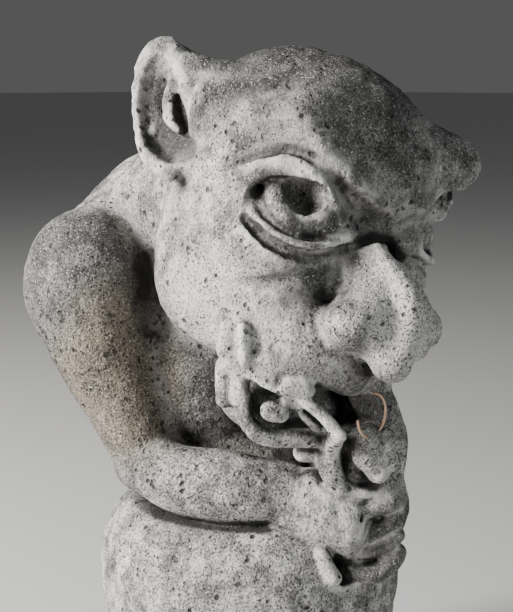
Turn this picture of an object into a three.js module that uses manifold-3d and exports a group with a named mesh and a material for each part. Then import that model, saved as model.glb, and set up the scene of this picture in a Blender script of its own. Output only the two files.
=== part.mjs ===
// Plaster gargoyle: a crouching monster with hands clasped at its mouth, cast in one with its drum plinth,
// and the loose wire ring threaded through the small animal it holds.
// Millimetres, +Z up, the figure faces -Y, its right side is -X, origin in the middle of the plinth's foot.
import * as THREE from "three";
import { mergeVertices } from "three/addons/utils/BufferGeometryUtils.js";
import Module from "manifold-3d";

// the head's own frame: where its middle lies and how far it tips to the left
const HEAD_CENTRE = [0, -34, 265];
const HEAD_TIP_DEGREES = 10;

// wire ring: middle, radius to the middle of the wire, wire radius, play in its hole, turn about the upright
const RING_CENTRE = [-7.7, -82.7, 187.8];
const RING_RADIUS = 9.6;
const WIRE_RADIUS = 0.65;
const RING_PLAY = 0.3;
const RING_TURN_DEGREES = 1.5;
const RING_STEPS = 36;
const WIRE_STEPS = 8;

// clay block the figure is modelled in, its fineness and how many triangles the figure may keep
const CLAY_LOW = [-104, -116, 104];
const CLAY_HIGH = [104, 108, 358];
const CLAY_STEP = 2.2;
const FIGURE_TRIANGLES = 8150;
// how much more a shape error counts in the face, and where the face ends at the back
const FACE_CARE = 4;
const FACE_BACK = -30;
const FIGURE_FOOT = 108;
const PINCH_FILL = -0.02;

// plinth: sides of its turned drum and points between two outline points
const PLINTH_SIDES = 48;
const OUTLINE_STEPS = 1;

// limb points at most this far apart, as a share of the limb's radius, and the most per span
const LIMB_SPACING = 0.3;
const LIMB_MOST_STEPS = 14;
const LIMB_LEAST_STEPS = 4;
const LIMB_LEAST_SPACING = 2;

// the distance taken for a place far from all clay, and lengths too small to matter
const FAR = 60;
const TINY = 1e-6;
const WELD = 1e-4;

// when a merge of two points is refused: how far a face may turn and how thin it may get
const LEAST_TURN_COSINE = 0.3;
const LEAST_FACE_SHARE = 0.06;
const LEAST_DETERMINANT = 1e-4;

// a rounded mass with its middle, half sizes, blend and turn in degrees
function ball(centre, half, blend, turn = [0, 0, 0]) {
  return { kind: "ball", centre, half, blend, turn };
}

// a rod along smoothed points, with the radius at each
function limb(points, radii, blend) {
  return { kind: "limb", points, radii, blend };
}

// a box with rounded edges
function block(centre, half, edge, blend, turn = [0, 0, 0]) {
  return { kind: "block", centre, half, edge, blend, turn };
}

// the form is cut away in place of being added
function hollow(form) {
  return { ...form, cut: true };
}

// every form of the group is made on the right and again on the left, where it may sit a little further out
function pair(group, leftShift = [0, 0, 0]) {
  const both = (form) => ({ ...form, both: true, leftShift });
  return Object.fromEntries(Object.entries(group).map(([name, form]) => [name, both(form)]));
}

// turned outline of the plinth from the foot up, as radius and height
const PLINTH_OUTLINE = [[76, 0], [76, 12], [70, 16], [67, 30], [69, 60], [72, 85], [72.5, 100],
                  [71.5, 112], [68, 122], [62, 130], [57, 133]];

// chest, belly, back and neck, measured from the middle of the plinth's underside
const TORSO = {
  chest: ball([0, 26, 184], [50, 40, 60], 10),
  seat: ball([0, 12, 142], [47, 40, 26], 10),
  upper_back: ball([0, 46, 230], [54, 40, 40], 16),
  neck: limb([[0, 60, 260], [0, 30, 266], [0, -6, 270]], [37, 41, 42], 14),
};

// shoulders and arms, given for the right side
const ARMS = pair({
  neck_muscle: limb([[-22, 63, 256], [-46, 58, 249]], [26, 22], 9),
  shoulder: ball([-59, 51, 238], [27, 29, 33], 8),
  upper_arm: limb([[-61, 47, 232], [-60, 40, 212], [-56, 29, 186], [-54, 15, 160]], [26, 24, 19, 14], 8),
  forearm: limb([[-54, 14, 155], [-49, -6, 151], [-37, -26, 149], [-20, -43, 146]], [13.5, 15.5, 17, 14],
    5),
});

// right hand, whose fingers wrap across the front
const RIGHT_HAND = {
  back: ball([-11, -57, 142], [12, 15, 15], 7, [0, 0, -40]),
  thumb: limb([[-15, -53, 143], [-14.5, -54.6, 149.5], [-14.6, -54.8, 154.6]], [7, 5.8, 4.2], 4),
  heel: limb([[-23, -49, 138], [-14, -59, 131], [-6.5, -68, 124]], [7, 7, 6], 6),
  knuckles: ball([-5.5, -68, 137], [9, 11, 13], 6, [0, 0, -40]),
  first_finger: limb([[-2.5, -71.5, 140], [2, -77.5, 142.5], [6.5, -81.5, 144], [11.5, -83.5, 145]],
    [4.4, 4.6, 4.4, 4], 1.2),
  middle_finger: limb([[-2, -69, 127], [4, -76, 131.5], [7.5, -79.8, 134], [11.5, -82, 137]],
    [5, 5.4, 5.2, 4.8], 1.2),
  last_finger: limb([[-2.5, -67.5, 120], [4.2, -76, 122.5], [7.8, -80, 125], [11.5, -82.5, 128.5]],
    [4.8, 4.8, 4.6, 4.4], 1.2),
  thumb_hollow: hollow(limb([[-14.4, -62, 153], [-13.6, -63, 150], [-12.8, -64, 146.5]], [2.2, 3, 2], 2)),
  crack: hollow(limb([[-5, -77.6, 142.5], [-6.8, -76.4, 139.4], [-8.5, -75.4, 137.9], [-8.2, -76, 135.4],
    [-9, -75, 132]], [1.4, 1.4, 1.1, 0.9, 0.8], 0.6)),
};

// left hand, closed behind the right one
const LEFT_HAND = {
  back: ball([12, -62, 140], [13, 16, 18], 6, [0, 0, 40]),
  knuckles: limb([[15, -74.5, 150.5], [15, -76.5, 139], [14, -71, 122]], [7, 8.5, 8], 3),
};

// small animal held in both hands, its hind part in the mouth and its head hanging
const SMALL_ANIMAL = {
  body: limb([[7, -66, 198], [9, -71, 186], [11, -75, 168], [9, -72, 150]], [10, 10, 10.5, 10], 4),
  flank: limb([[-1, -66, 172], [-1, -67, 158]], [8, 8], 3),
  leg: limb([[-15.4, -69, 177.5], [-17, -68, 171.8], [-17.2, -67.2, 165.2], [-15.2, -67, 159.5],
    [-11.5, -69.5, 153.5]], [4.2, 5, 5.4, 5, 3.6], 2),
  foot: limb([[-23, -56.6, 169], [-18.8, -60, 168.8]], [4.4, 4.4], 2),
  cuff: limb([[-12, -69, 153.6], [-5, -74, 150.5], [4, -79, 150]], [3.2, 3, 3], 2),
  skull: ball([-5, -78, 173], [9, 9, 10], 2.5),
  snout: limb([[-5, -79, 172], [-2, -82, 161]], [8, 5], 3),
  ear: limb([[1, -84, 176], [2, -84, 166]], [5, 5.5], 2),
};

// lumps that stand on a ledge of the plinth below the hands
const FRONT_LUMPS = {
  ledge: hollow(block([8, -78, 113], [20, 17, 5.2], 1, 1)),
  filling: ball([5, -62, 114], [12, 12, 12], 4),
  side_block: limb([[-19, -64, 122.5], [-18.6, -67, 117], [-17, -69.8, 112.4]], [3.6, 4, 4.2], 1.2),
  curl: limb([[-4.6, -68, 113], [1.4, -75, 110.8], [5.4, -79.7, 113.3], [10.1, -82.4, 116.8],
    [14, -81.5, 119.5]], [4.6, 5, 4.8, 4.4, 4.4], 1.5),
  gap: hollow(limb([[-11.6, -67, 119.5], [-11.4, -68, 114.5], [-10.6, -69, 111]], [2.4, 3.2, 3], 1)),
};

// head masses, measured from the middle of the head in its own tilted frame
const HEAD = {
  skull: ball([0, 10, 24], [57, 56, 57], 14),
  forehead: ball([0, -16, 32], [44, 42, 36], 14),
  lower_head: ball([0, 14, -16], [50, 44, 44], 14),
  muzzle: ball([0, -12, -46], [45, 39, 24], 8),
};

// jowls and cheeks
const CHEEKS = pair({
  jowl: ball([-32, 18, -26], [23, 29, 29], 16),
  cheek: ball([-36, -6, -14], [20, 28, 28], 14),
}, [3, -5, 0]);

// heavy brows with a sharp lower edge
const BROWS = pair({
  mass: ball([-25, -18, 40], [17, 24, 18], 8, [0, 0, -30]),
  ridge: limb([[-40, 1, 37], [-36, -10, 41], [-32, -21, 43], [-29, -31, 38], [-24, -39, 30],
    [-18, -45, 21], [-11, -49, 14]], [7, 8, 8.5, 8, 7, 6, 5], 5),
  crest: limb([[-50, -4.4, 37], [-46.4, -11.3, 42.7], [-43.3, -19.5, 45], [-40.6, -29.5, 43],
    [-37, -36.5, 36.5], [-33, -40.5, 31], [-26.5, -46, 24], [-20, -50, 17]],
    [4, 6, 6.5, 6.5, 6, 6, 5.5, 4.5], 5),
  ridge_edge: limb([[-38.3, -32, 32], [-38.7, -38, 28.2], [-36.5, -42, 25.4], [-32.6, -45, 22.5],
    [-28.2, -47.2, 19.7], [-21, -49.5, 16], [-15, -53, 12]], [2.4, 3.4, 3.8, 4, 4, 3.8, 3], 3),
  brow_fold: hollow(limb([[-55.3, -12.8, 29.7], [-53.7, -16.7, 32], [-51.2, -22.7, 34.3], [-49, -29, 35.2],
    [-46.3, -35, 34.2]], [4, 5, 5, 5, 3.5], 5)),
});

// knob above the left brow
const LEFT_KNOB = {
  arch: limb([[26, -36, 36], [33, -42, 34]], [16, 14], 6),
  knob: limb([[30, -40, 38], [39, -50, 36]], [14, 12.5], 5),
};

// flat planes, a dent and a chip in the forehead
const FOREHEAD_FLAT = {
  flat: hollow(block([0, -87, 66], [90, 40, 46], 2, 3, [-24, 0, -6])),
  near_flat: hollow(block([-17.9, -83, 56], [60, 40, 33], 8, 9, [-19.6, 0, -17])),
  dent: hollow(ball([-19, -56.5, 25], [5, 6.5, 7.5], 3)),
  crest_chip: hollow(limb([[-44.8, -33.8, 42.8], [-43.6, -36.8, 38.9], [-41.8, -39.1, 34.8],
    [-40.3, -42.4, 30.6]], [1.8, 2.4, 2.4, 1.6], 1.5)),
};

// deep-set eyes with raised lids and a hollow iris
const EYES = pair({
  socket: hollow(ball([-34, -27, 7], [22, 22, 20], 3)),
  under_eye: ball([-26, -25, -21], [19, 12.5, 12], 5),
  inner_corner: ball([-13, -36, 0], [8, 8, 10], 4),
  eyeball: ball([-27, -20, 7], [18.5, 18.5, 18.5], 2),
  eye_bulge: ball([-22, -33, 5], [10, 9.5, 12], 4),
  upper_lid: limb([[-50, -10, 14], [-49, -14, 20], [-45, -18.5, 23.6], [-43, -24.5, 24.7],
    [-41, -30, 24.3], [-38.5, -34.6, 22.2], [-36, -38.5, 19], [-32, -41, 16], [-26.5, -43, 12.8],
    [-17, -42.5, 8.4]], [4.4, 6, 6.2, 6.2, 6, 5.6, 5, 4.6, 4, 3.4], 2),
  lid_bed: limb([[-44, -7, 11], [-44.5, -13, 2.5], [-43, -19, -4], [-40, -24, -8], [-35, -28.5, -10.5],
    [-29, -31.5, -11.5], [-21, -34, -9]], [5, 5.4, 5.8, 6, 6, 6, 5.6], 3),
  lower_lid: limb([[-48, -9, 10], [-49, -16, 2], [-48, -22, -3], [-44.5, -28, -6.3], [-39.5, -33, -8.4],
    [-33, -37, -9], [-26, -39, -7.8], [-18, -40.5, -4], [-12, -42, 2]],
    [2.6, 2.8, 3, 3, 3, 3.2, 3.4, 3.2, 3], 1.5),
  iris: hollow(ball([-35.8, -32.5, 13.2], [8.6, 11, 8.6], 1.5)),
  iris_rim: limb([[-40.5, -19, 14.5], [-42, -21, 10.9], [-42, -24.5, 6.3], [-39.6, -28, 2.3],
    [-35.3, -31, -0.6], [-30, -33, -1.5]], [4.6, 5.2, 5, 4.6, 4.2, 3.4], 1),
  bulge_ridge: limb([[-30.5, -38, 13.8], [-25.5, -39, 12.6], [-18, -39, 9.8]], [1.8, 2.2, 2], 2),
  lid_crease: hollow(limb([[-53, -10, 23], [-51.5, -14, 25.5], [-49.5, -18, 28], [-47, -23, 29.5],
    [-45, -27, 30.3], [-42.5, -33, 29.2], [-40.5, -37.5, 28], [-37.5, -43, 24.4], [-32.5, -46.5, 20],
    [-24, -50, 15], [-16, -53, 10]], [1.2, 2, 2.2, 2, 1.8, 1.8, 2, 2.2, 2.4, 2.6, 2.4], 2)),
  groove_under: hollow(limb([[-52.4, -14.5, 0], [-49.5, -23.6, -5.5], [-46.5, -27.5, -9],
    [-42.2, -32, -11], [-36.2, -36.5, -12], [-28, -40, -11.4], [-17, -41, -8]],
    [0.8, 1.8, 2, 2.2, 2.4, 2.4, 2], 3)),
  inner_hollow: hollow(limb([[-33.2, -44.6, 21.4], [-29.3, -46.2, 16.6], [-24.7, -47, 12.3],
    [-18.4, -47.8, 8], [-9.8, -48.2, 4.7], [-0.4, -49.6, 3.1]], [1.6, 3, 4.4, 5.6, 6, 4.5], 3)),
  cheek_fold: hollow(limb([[-52, -18, -26.5], [-46, -27, -25], [-40, -36, -22], [-36, -42, -20],
    [-29, -47, -18]], [0.7, 1.8, 2.4, 2.4, 1.6], 4)),
}, [4, -7, 0]);

// drooping nose with a narrow ridge
const NOSE = {
  body: limb([[0, -42, -17], [1, -48, -27], [1, -52, -40]], [10, 12.5, 14], 5),
  square_root: block([-3.5, -46.5, -17], [8.5, 9, 12.5], 2.5, 3, [-22, 0, 27]),
  drooping_tip: limb([[0, -56, -40], [-2.5, -61, -51]], [11, 7.5], 3),
  ridge: limb([[-5, -53.5, -10], [-3.4, -58.5, -15], [-1.5, -63, -21], [-0.8, -66.5, -29], [-2, -67, -43],
    [-3.3, -64.3, -53.5]], [3, 4, 5, 6, 6, 7.5], 6),
  pit: hollow(ball([-11.5, -69, -41], [3, 3.5, 5], 2)),
};

// sides and wings of the nose
const NOSTRILS = pair({
  side: limb([[-7, -46, -17], [-9, -50.5, -25], [-11, -54, -34], [-8, -58, -44]], [6.5, 8.5, 9.5, 8], 6),
  wing: ball([-19, -51, -38], [11, 12, 10.5], 5),
  wing_root: limb([[-17, -47, -31], [-13, -50, -27]], [6, 6], 4),
}, [2, -4, 0]);

// open mouth with thin lips and a folded corner
const MOUTH = pair({
  upper_lip: limb([[-41, -20, -52], [-38, -26, -56.9], [-32, -31, -58.4], [-21.7, -36, -59.4],
    [0, -40, -61]], [5, 6, 7, 7.5, 8], 6),
  slot: hollow(limb([[-50, -20, -74], [-40, -32, -77], [-26, -46, -78], [0, -54, -78]], [6, 9, 11, 12], 2)),
  gape: hollow(ball([-20, -26, -77], [22, 16, 11], 3)),
  lip_floor: limb([[-43, -14, -61.4], [-36.3, -20.6, -64.1], [-31, -26, -67]], [3.6, 3.6, 3.4], 3),
  lip_bed: limb([[-45.5, -14.5, -60.5], [-40.5, -20.5, -63], [-35, -26, -66]], [4, 4, 4], 2),
  lower_lip: limb([[-48.2, -13.7, -62.9], [-44.8, -20.2, -65.1], [-40.6, -25.3, -67.6],
    [-34.3, -31.6, -70.8]], [1.6, 1.7, 1.7, 1.7], 2),
  corner: ball([-43, -15, -53], [7, 9, 12.5], 3),
  corner_fold: limb([[-48.5, -10, -46], [-50, -11.5, -54], [-47.5, -13, -61]], [4, 4.6, 3.6], 1.5),
  corner_crease: hollow(limb([[-46.4, -21.5, -42.5], [-45.8, -25, -49.6], [-45.5, -25, -55]],
    [1.4, 2.4, 2], 2)),
  corner_rod: limb([[-48.8, -18.1, -45.6], [-48.6, -19.5, -51.8], [-47.4, -20.3, -58.7]], [2.6, 3, 2.6], 1),
  corner_pit: hollow(limb([[-51.8, -17.2, -47], [-51.3, -18, -54]], [1.2, 1.4], 1)),
  jaw_rim: limb([[-42.2, -14, -65], [-41, -15.1, -75.1], [-39, -16.1, -82.4], [-34.6, -17.5, -88],
    [-29, -20.2, -91.3], [-22.3, -23.8, -91.6], [-14, -28, -91], [0, -32, -90.3]],
    [4, 4, 4.2, 4.4, 4.4, 4.4, 4.4, 4.4], 3),
  jaw_lobe: limb([[-44, -6, -63], [-41.6, -6.3, -77.3]], [4.4, 4.8], 2),
});

// chin
const CHIN = {
  chin: ball([0, -2, -80], [34, 22, 16], 8),
};

// hind part of the small animal between the lips
const MOUTHFUL = {
  knob: limb([[-33.5, -34.3, -67.3], [-27.5, -38.6, -68.1]], [3.8, 4.1], 1.5),
  hind_leg: limb([[-27.8, -35.5, -71.5], [-24, -40, -75.3], [-19, -44.5, -79.6], [-15, -49.5, -85.5]],
    [2.6, 2.5, 2.6, 3.2], 1.2),
  shank: limb([[-30.8, -32.5, -70.3], [-31.5, -30.5, -75.2]], [2.4, 2.6], 1.2),
  inner_leg: limb([[-28.1, -32.5, -73.4], [-23.6, -34, -78.1], [-17, -38, -84]], [2.4, 2.4, 2.6], 1.5),
  paw: limb([[-36.1, -27.9, -78.9], [-32.8, -30.1, -79.2]], [4.6, 4.7], 1.2),
};

// ears, each a cupped shell with a rim and an inner lobe
const EARS = pair({
  cone: limb([[-32, 4, 46], [-46, 14, 45], [-55, 19, 45]], [20, 15, 12], 8),
  upper_shell: ball([-59, 34, 52], [12, 13, 20.5], 6, [0, 0, 22]),
  lower_shell: ball([-57, 30, 31], [12, 12, 17], 6, [0, 0, 22]),
  flap_top: limb([[-46, 16, 58], [-62, 26, 62]], [7, 3.5], 5),
  flap_middle: limb([[-46, 8, 46], [-60, 19, 49]], [9, 3.5], 5),
  flap_foot: limb([[-46, 6, 40], [-56, 13, 38]], [8, 3.4], 4),
  mouth_flat: hollow(block([-80, 33, 44], [14, 24, 33], 1, 2, [0, 0, 22])),
  upper_cup: hollow(ball([-66.5, 36.5, 46], [5, 6.5, 20], 3, [0, 0, 22])),
  lower_cup: hollow(limb([[-62, 34, 27.5], [-59.5, 27, 26], [-57.5, 21.5, 27.5]], [4.5, 5.5, 4.5], 4)),
  slot: hollow(limb([[-62.6, 35.4, 54.5], [-62.3, 34.4, 49], [-62.3, 34.4, 42.6], [-61.9, 33.5, 37.2],
    [-60.3, 29.6, 33.2], [-58.9, 25.9, 30.8]], [3, 4, 4.2, 4.2, 4, 3.4], 2)),
  recess: hollow(limb([[-60, 25.5, 48.5], [-59.5, 24, 41.4], [-58.5, 21, 35.7]], [2.4, 3, 3], 1.5)),
  wall_top: limb([[-58, 27, 64], [-46, 12, 58]], [3, 8], 6),
  wall_middle: limb([[-58, 20, 52], [-46, 7, 47]], [3.4, 9], 6),
  wall_foot: limb([[-56, 13, 38], [-46, 4, 41]], [3.4, 8], 6),
  rim: limb([[-63.2, 32.4, 71.1], [-65.4, 37.9, 69.7], [-67, 41.9, 65.1], [-67.9, 44.2, 58.4],
    [-68.1, 44.8, 50.2], [-67.5, 43.3, 38.3], [-66.9, 41.8, 31.9], [-65.8, 38.9, 25], [-64, 34.5, 19.4],
    [-62, 29.5, 16.1], [-60.4, 25.5, 13.8]], [3.6, 3.8, 3.2, 2.6, 2.4, 2.4, 2.4, 2.4, 2.6, 2.8, 2.6], 3),
  front_edge: limb([[-64, 28.2, 67.9], [-62.7, 25, 61.7], [-61.3, 21.6, 54.9], [-60, 18.2, 47.6],
    [-58.6, 14.6, 40.4], [-57.2, 11.2, 34.3], [-56.6, 9.8, 32]], [2.6, 2.2, 2, 2, 2, 2.2, 2.2], 4),
  inner_lobe: limb([[-61, 30.5, 53], [-61.2, 30.6, 47.2], [-61, 30.2, 42.4], [-60.3, 28.2, 37.9],
    [-58.8, 24.8, 34.9]], [2.4, 3, 3.2, 2.8, 2], 1),
});

// in which order the groups are made: body and hands, the head in its own frame, and what lies over them
const WORLD_GROUPS = [TORSO, ARMS, LEFT_HAND, RIGHT_HAND];
const HEAD_GROUPS = [HEAD, CHEEKS, BROWS, LEFT_KNOB, FOREHEAD_FLAT, EYES, NOSE, NOSTRILS, MOUTH, CHIN,
  MOUTHFUL, EARS];
const LAST_GROUPS = [FRONT_LUMPS, SMALL_ANIMAL];

function turnMatrix(degrees) {
  const euler = new THREE.Euler(...degrees.map(THREE.MathUtils.degToRad), "ZYX");
  return new THREE.Matrix3().setFromMatrix4(new THREE.Matrix4().makeRotationFromEuler(euler));
}

// a smooth run of points through the given ones, with the radius at each
function smoothRun(points, radii) {
  const given = points.map((point) => new THREE.Vector3(...point));
  const last = given.length - 1;
  const before = given[0].clone().multiplyScalar(2).sub(given[1]);
  const after = given[last].clone().multiplyScalar(2).sub(given[last - 1]);
  const padded = [before, ...given, after];
  const longest = Math.max(...given.slice(1).map((point, i) => point.distanceTo(given[i])));
  const wanted = Math.round(longest / Math.max(LIMB_LEAST_SPACING, Math.min(...radii) * LIMB_SPACING));
  const steps = last === 1 ? 1 : Math.min(LIMB_MOST_STEPS, Math.max(LIMB_LEAST_STEPS, wanted));
  const run = [];
  for (let span = 0; span < last; span += 1) {
    const [a, b, c, d] = padded.slice(span, span + 4);
    for (let step = 0; step < steps; step += 1) {
      const t = step / steps;
      const along = (axis) => 0.5 * (2 * b[axis] + (c[axis] - a[axis]) * t
        + (2 * a[axis] - 5 * b[axis] + 4 * c[axis] - d[axis]) * t * t
        + (3 * b[axis] - a[axis] - 3 * c[axis] + d[axis]) * t * t * t);
      run.push({ at: new THREE.Vector3(along("x"), along("y"), along("z")),
        radius: radii[span] + (radii[span + 1] - radii[span]) * t });
    }
  }
  run.push({ at: given[last], radius: radii[last] });
  return run;
}

// a block of clay as signed distances on a regular grid: below zero inside the figure
class Clay {
  constructor(low, high, step) {
    this.low = low;
    this.step = step;
    this.count = low.map((value, axis) => Math.ceil((high[axis] - value) / step) + 1);
    this.values = new Float32Array(this.count[0] * this.count[1] * this.count[2]).fill(FAR);
    this.frame = { turn: new THREE.Matrix3(), at: new THREE.Vector3() };
  }

  index(i, j, k) {
    return (i * this.count[1] + j) * this.count[2] + k;
  }

  place(point, side, form) {
    const moved = new THREE.Vector3(point[0] * side, point[1], point[2]);
    if (side < 0) {
      moved.add(new THREE.Vector3(...form.leftShift));
    }
    return moved.applyMatrix3(this.frame.turn).add(this.frame.at);
  }

  // blends a distance function into the clay within a box
  blend(low, high, distance, width, cut) {
    const from = low.map((value, a) => Math.max(0, Math.floor((value - this.low[a]) / this.step)));
    const last = this.count.map((count) => count - 1);
    const to = high.map((value, a) => Math.min(last[a], Math.ceil((value - this.low[a]) / this.step)));
    const sign = cut ? -1 : 1;
    for (let i = from[0]; i <= to[0]; i += 1) {
      for (let j = from[1]; j <= to[1]; j += 1) {
        for (let k = from[2]; k <= to[2]; k += 1) {
          const x = this.low[0] + i * this.step;
          const y = this.low[1] + j * this.step;
          const z = this.low[2] + k * this.step;
          const form = distance(x, y, z);
          const spot = this.index(i, j, k);
          const clay = sign * this.values[spot];
          const overlap = Math.max(width - Math.abs(clay - form), 0) / width;
          this.values[spot] = sign * (Math.min(clay, form) - (overlap * overlap * width) / 4);
        }
      }
    }
  }

  add(form) {
    for (const side of form.both ? [1, -1] : [1]) {
      if (form.kind === "limb") {
        this.addLimb(form, side);
      } else {
        this.addSolid(form, side);
      }
    }
  }

  addSolid(form, side) {
    const mirror = new THREE.Matrix3().set(side, 0, 0, 0, 1, 0, 0, 0, 1);
    const turn = this.frame.turn.clone().multiply(mirror).multiply(turnMatrix(form.turn));
    const e = turn.elements;
    const centre = this.place(form.centre, side, form);
    const middle = centre.toArray();
    const reachAlong = (a) => form.half.reduce((sum, half, b) => sum + Math.abs(e[b * 3 + a]) * half, 0);
    const reach = [0, 1, 2].map(reachAlong);
    const extra = form.blend + 2 * this.step;
    const low = middle.map((value, a) => value - reach[a] - extra);
    const high = middle.map((value, a) => value + reach[a] + extra);
    const local = (x, y, z, b) => (x - middle[0]) * e[b * 3] + (y - middle[1]) * e[b * 3 + 1]
      + (z - middle[2]) * e[b * 3 + 2];
    const toBall = (x, y, z) => {
      let near = 0;
      let steep = 0;
      for (let b = 0; b < 3; b += 1) {
        const share = local(x, y, z, b) / form.half[b];
        near += share * share;
        steep += (share * share) / (form.half[b] * form.half[b]);
      }
      const size = Math.sqrt(near);
      return (size * (size - 1)) / Math.max(Math.sqrt(steep), TINY);
    };
    const toBlock = (x, y, z) => {
      let outside = 0;
      let inside = -Infinity;
      for (let b = 0; b < 3; b += 1) {
        const past = Math.abs(local(x, y, z, b)) - (form.half[b] - form.edge);
        outside += Math.max(past, 0) ** 2;
        inside = Math.max(inside, past);
      }
      return Math.sqrt(outside) + Math.min(inside, 0) - form.edge;
    };
    this.blend(low, high, form.kind === "ball" ? toBall : toBlock, form.blend, form.cut);
  }

  addLimb(form, side) {
    const run = smoothRun(form.points, form.radii);
    const spots = run.map((step) => this.place(step.at.toArray(), side, form).toArray());
    const radii = run.map((step) => step.radius);
    const extra = Math.max(...radii) + form.blend + 2 * this.step;
    const low = [0, 1, 2].map((a) => Math.min(...spots.map((spot) => spot[a])) - extra);
    const high = [0, 1, 2].map((a) => Math.max(...spots.map((spot) => spot[a])) + extra);
    const toRod = (x, y, z) => {
      let best = Infinity;
      for (let i = 0; i + 1 < spots.length; i += 1) {
        const [ax, ay, az] = spots[i];
        const [bx, by, bz] = spots[i + 1];
        const vx = bx - ax;
        const vy = by - ay;
        const vz = bz - az;
        const along = ((x - ax) * vx + (y - ay) * vy + (z - az) * vz) / (vx * vx + vy * vy + vz * vz);
        const t = Math.min(1, Math.max(0, along));
        const away = Math.hypot(x - ax - t * vx, y - ay - t * vy, z - az - t * vz);
        best = Math.min(best, away - radii[i] - t * (radii[i + 1] - radii[i]));
      }
      return best;
    };
    this.blend(low, high, toRod, form.blend, form.cut);
  }
}

// the twelve edges and the six faces of one grid cell, by corner number (bits: x, y, z)
const CELL_EDGES = [
  [0, 1], [2, 3], [4, 5], [6, 7], [0, 2], [1, 3], [4, 6], [5, 7], [0, 4], [1, 5], [2, 6], [3, 7],
];
const CELL_FACES = [
  [0, 1, 3, 2], [4, 5, 7, 6], [0, 1, 5, 4], [2, 3, 7, 6], [0, 2, 6, 4], [1, 3, 7, 5],
];

// true where the surface through a cell is one plain sheet
function plainSheet(inside) {
  const groups = [0, 1, 2, 3, 4, 5, 6, 7];
  for (let pass = 0; pass < 3; pass += 1) {
    for (const [a, b] of CELL_EDGES) {
      if (inside[a] === inside[b]) {
        groups[a] = groups[b] = Math.min(groups[a], groups[b]);
      }
    }
  }
  const mixedFace = CELL_FACES.some(([a, b, c, d]) => inside[a] === inside[c] && inside[b] === inside[d]
    && inside[a] !== inside[b]);
  return !mixedFace && new Set(groups).size <= 2;
}

// which corners of a cell lie in the clay, one bit for each
function cellCode(clay, spot, offsets) {
  let code = 0;
  for (let c = 0; c < 8; c += 1) {
    if (clay.values[spot + offsets[c]] < 0) {
      code |= 1 << c;
    }
  }
  return code;
}

// steps in the value list from a cell's first corner to each of its eight
function cornerOffsets(clay) {
  return [0, 1, 2, 3, 4, 5, 6, 7].map((c) => clay.index(c & 1, (c >> 1) & 1, c >> 2));
}

// fills the clay where the surface would touch itself in a point or along an edge
function fillPinches(clay) {
  const offsets = cornerOffsets(clay);
  const plain = [];
  for (let code = 0; code < 256; code += 1) {
    plain.push(plainSheet([0, 1, 2, 3, 4, 5, 6, 7].map((c) => ((code >> c) & 1) === 1)));
  }
  let changed = true;
  while (changed) {
    changed = false;
    for (let i = 0; i + 1 < clay.count[0]; i += 1) {
      for (let j = 0; j + 1 < clay.count[1]; j += 1) {
        for (let k = 0; k + 1 < clay.count[2]; k += 1) {
          const spot = clay.index(i, j, k);
          if (!plain[cellCode(clay, spot, offsets)]) {
            const empty = offsets.map((offset) => spot + offset).filter((c) => clay.values[c] >= 0);
            const least = empty.reduce((a, b) => (clay.values[b] < clay.values[a] ? b : a));
            clay.values[least] = PINCH_FILL * clay.step;
            changed = true;
          }
        }
      }
    }
  }
}

// the closed surface of the clay: a point in each crossed cell, four cells round each crossed grid edge
function claySurface(clay) {
  const [nx, ny, nz] = clay.count;
  const offsets = cornerOffsets(clay);
  const numbers = new Int32Array(nx * ny * nz).fill(-1);
  const points = [];
  for (let i = 0; i + 1 < nx; i += 1) {
    for (let j = 0; j + 1 < ny; j += 1) {
      for (let k = 0; k + 1 < nz; k += 1) {
        const code = cellCode(clay, clay.index(i, j, k), offsets);
        if (code === 0 || code === 255) {
          continue;
        }
        const value = offsets.map((offset) => clay.values[clay.index(i, j, k) + offset]);
        const sum = [0, 0, 0];
        let crossings = 0;
        for (const [a, b] of CELL_EDGES) {
          if (value[a] < 0 !== value[b] < 0) {
            const t = value[a] / (value[a] - value[b]);
            for (let axis = 0; axis < 3; axis += 1) {
              const from = (a >> axis) & 1;
              const to = (b >> axis) & 1;
              sum[axis] += from + t * (to - from);
            }
            crossings += 1;
          }
        }
        numbers[clay.index(i, j, k)] = points.length;
        const middle = sum.map((total) => total / crossings);
        points.push([i, j, k].map((cell, axis) => clay.low[axis] + clay.step * (cell + middle[axis])));
      }
    }
  }
  const faces = [];
  const steps = [[1, 0, 0], [0, 1, 0], [0, 0, 1]];
  for (let i = 1; i + 1 < nx; i += 1) {
    for (let j = 1; j + 1 < ny; j += 1) {
      for (let k = 1; k + 1 < nz; k += 1) {
        const here = clay.values[clay.index(i, j, k)] < 0;
        for (let axis = 0; axis < 3; axis += 1) {
          const [di, dj, dk] = steps[axis];
          if (here !== clay.values[clay.index(i + di, j + dj, k + dk)] < 0) {
            const [ui, uj, uk] = steps[(axis + 1) % 3];
            const [vi, vj, vk] = steps[(axis + 2) % 3];
            const a = numbers[clay.index(i, j, k)];
            const b = numbers[clay.index(i - ui, j - uj, k - uk)];
            const c = numbers[clay.index(i - ui - vi, j - uj - vj, k - uk - vk)];
            const d = numbers[clay.index(i - vi, j - vj, k - vk)];
            faces.push(...(here ? [[a, b, c], [a, c, d]] : [[a, c, b], [a, d, c]]));
          }
        }
      }
    }
  }
  return { points, faces };
}

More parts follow.
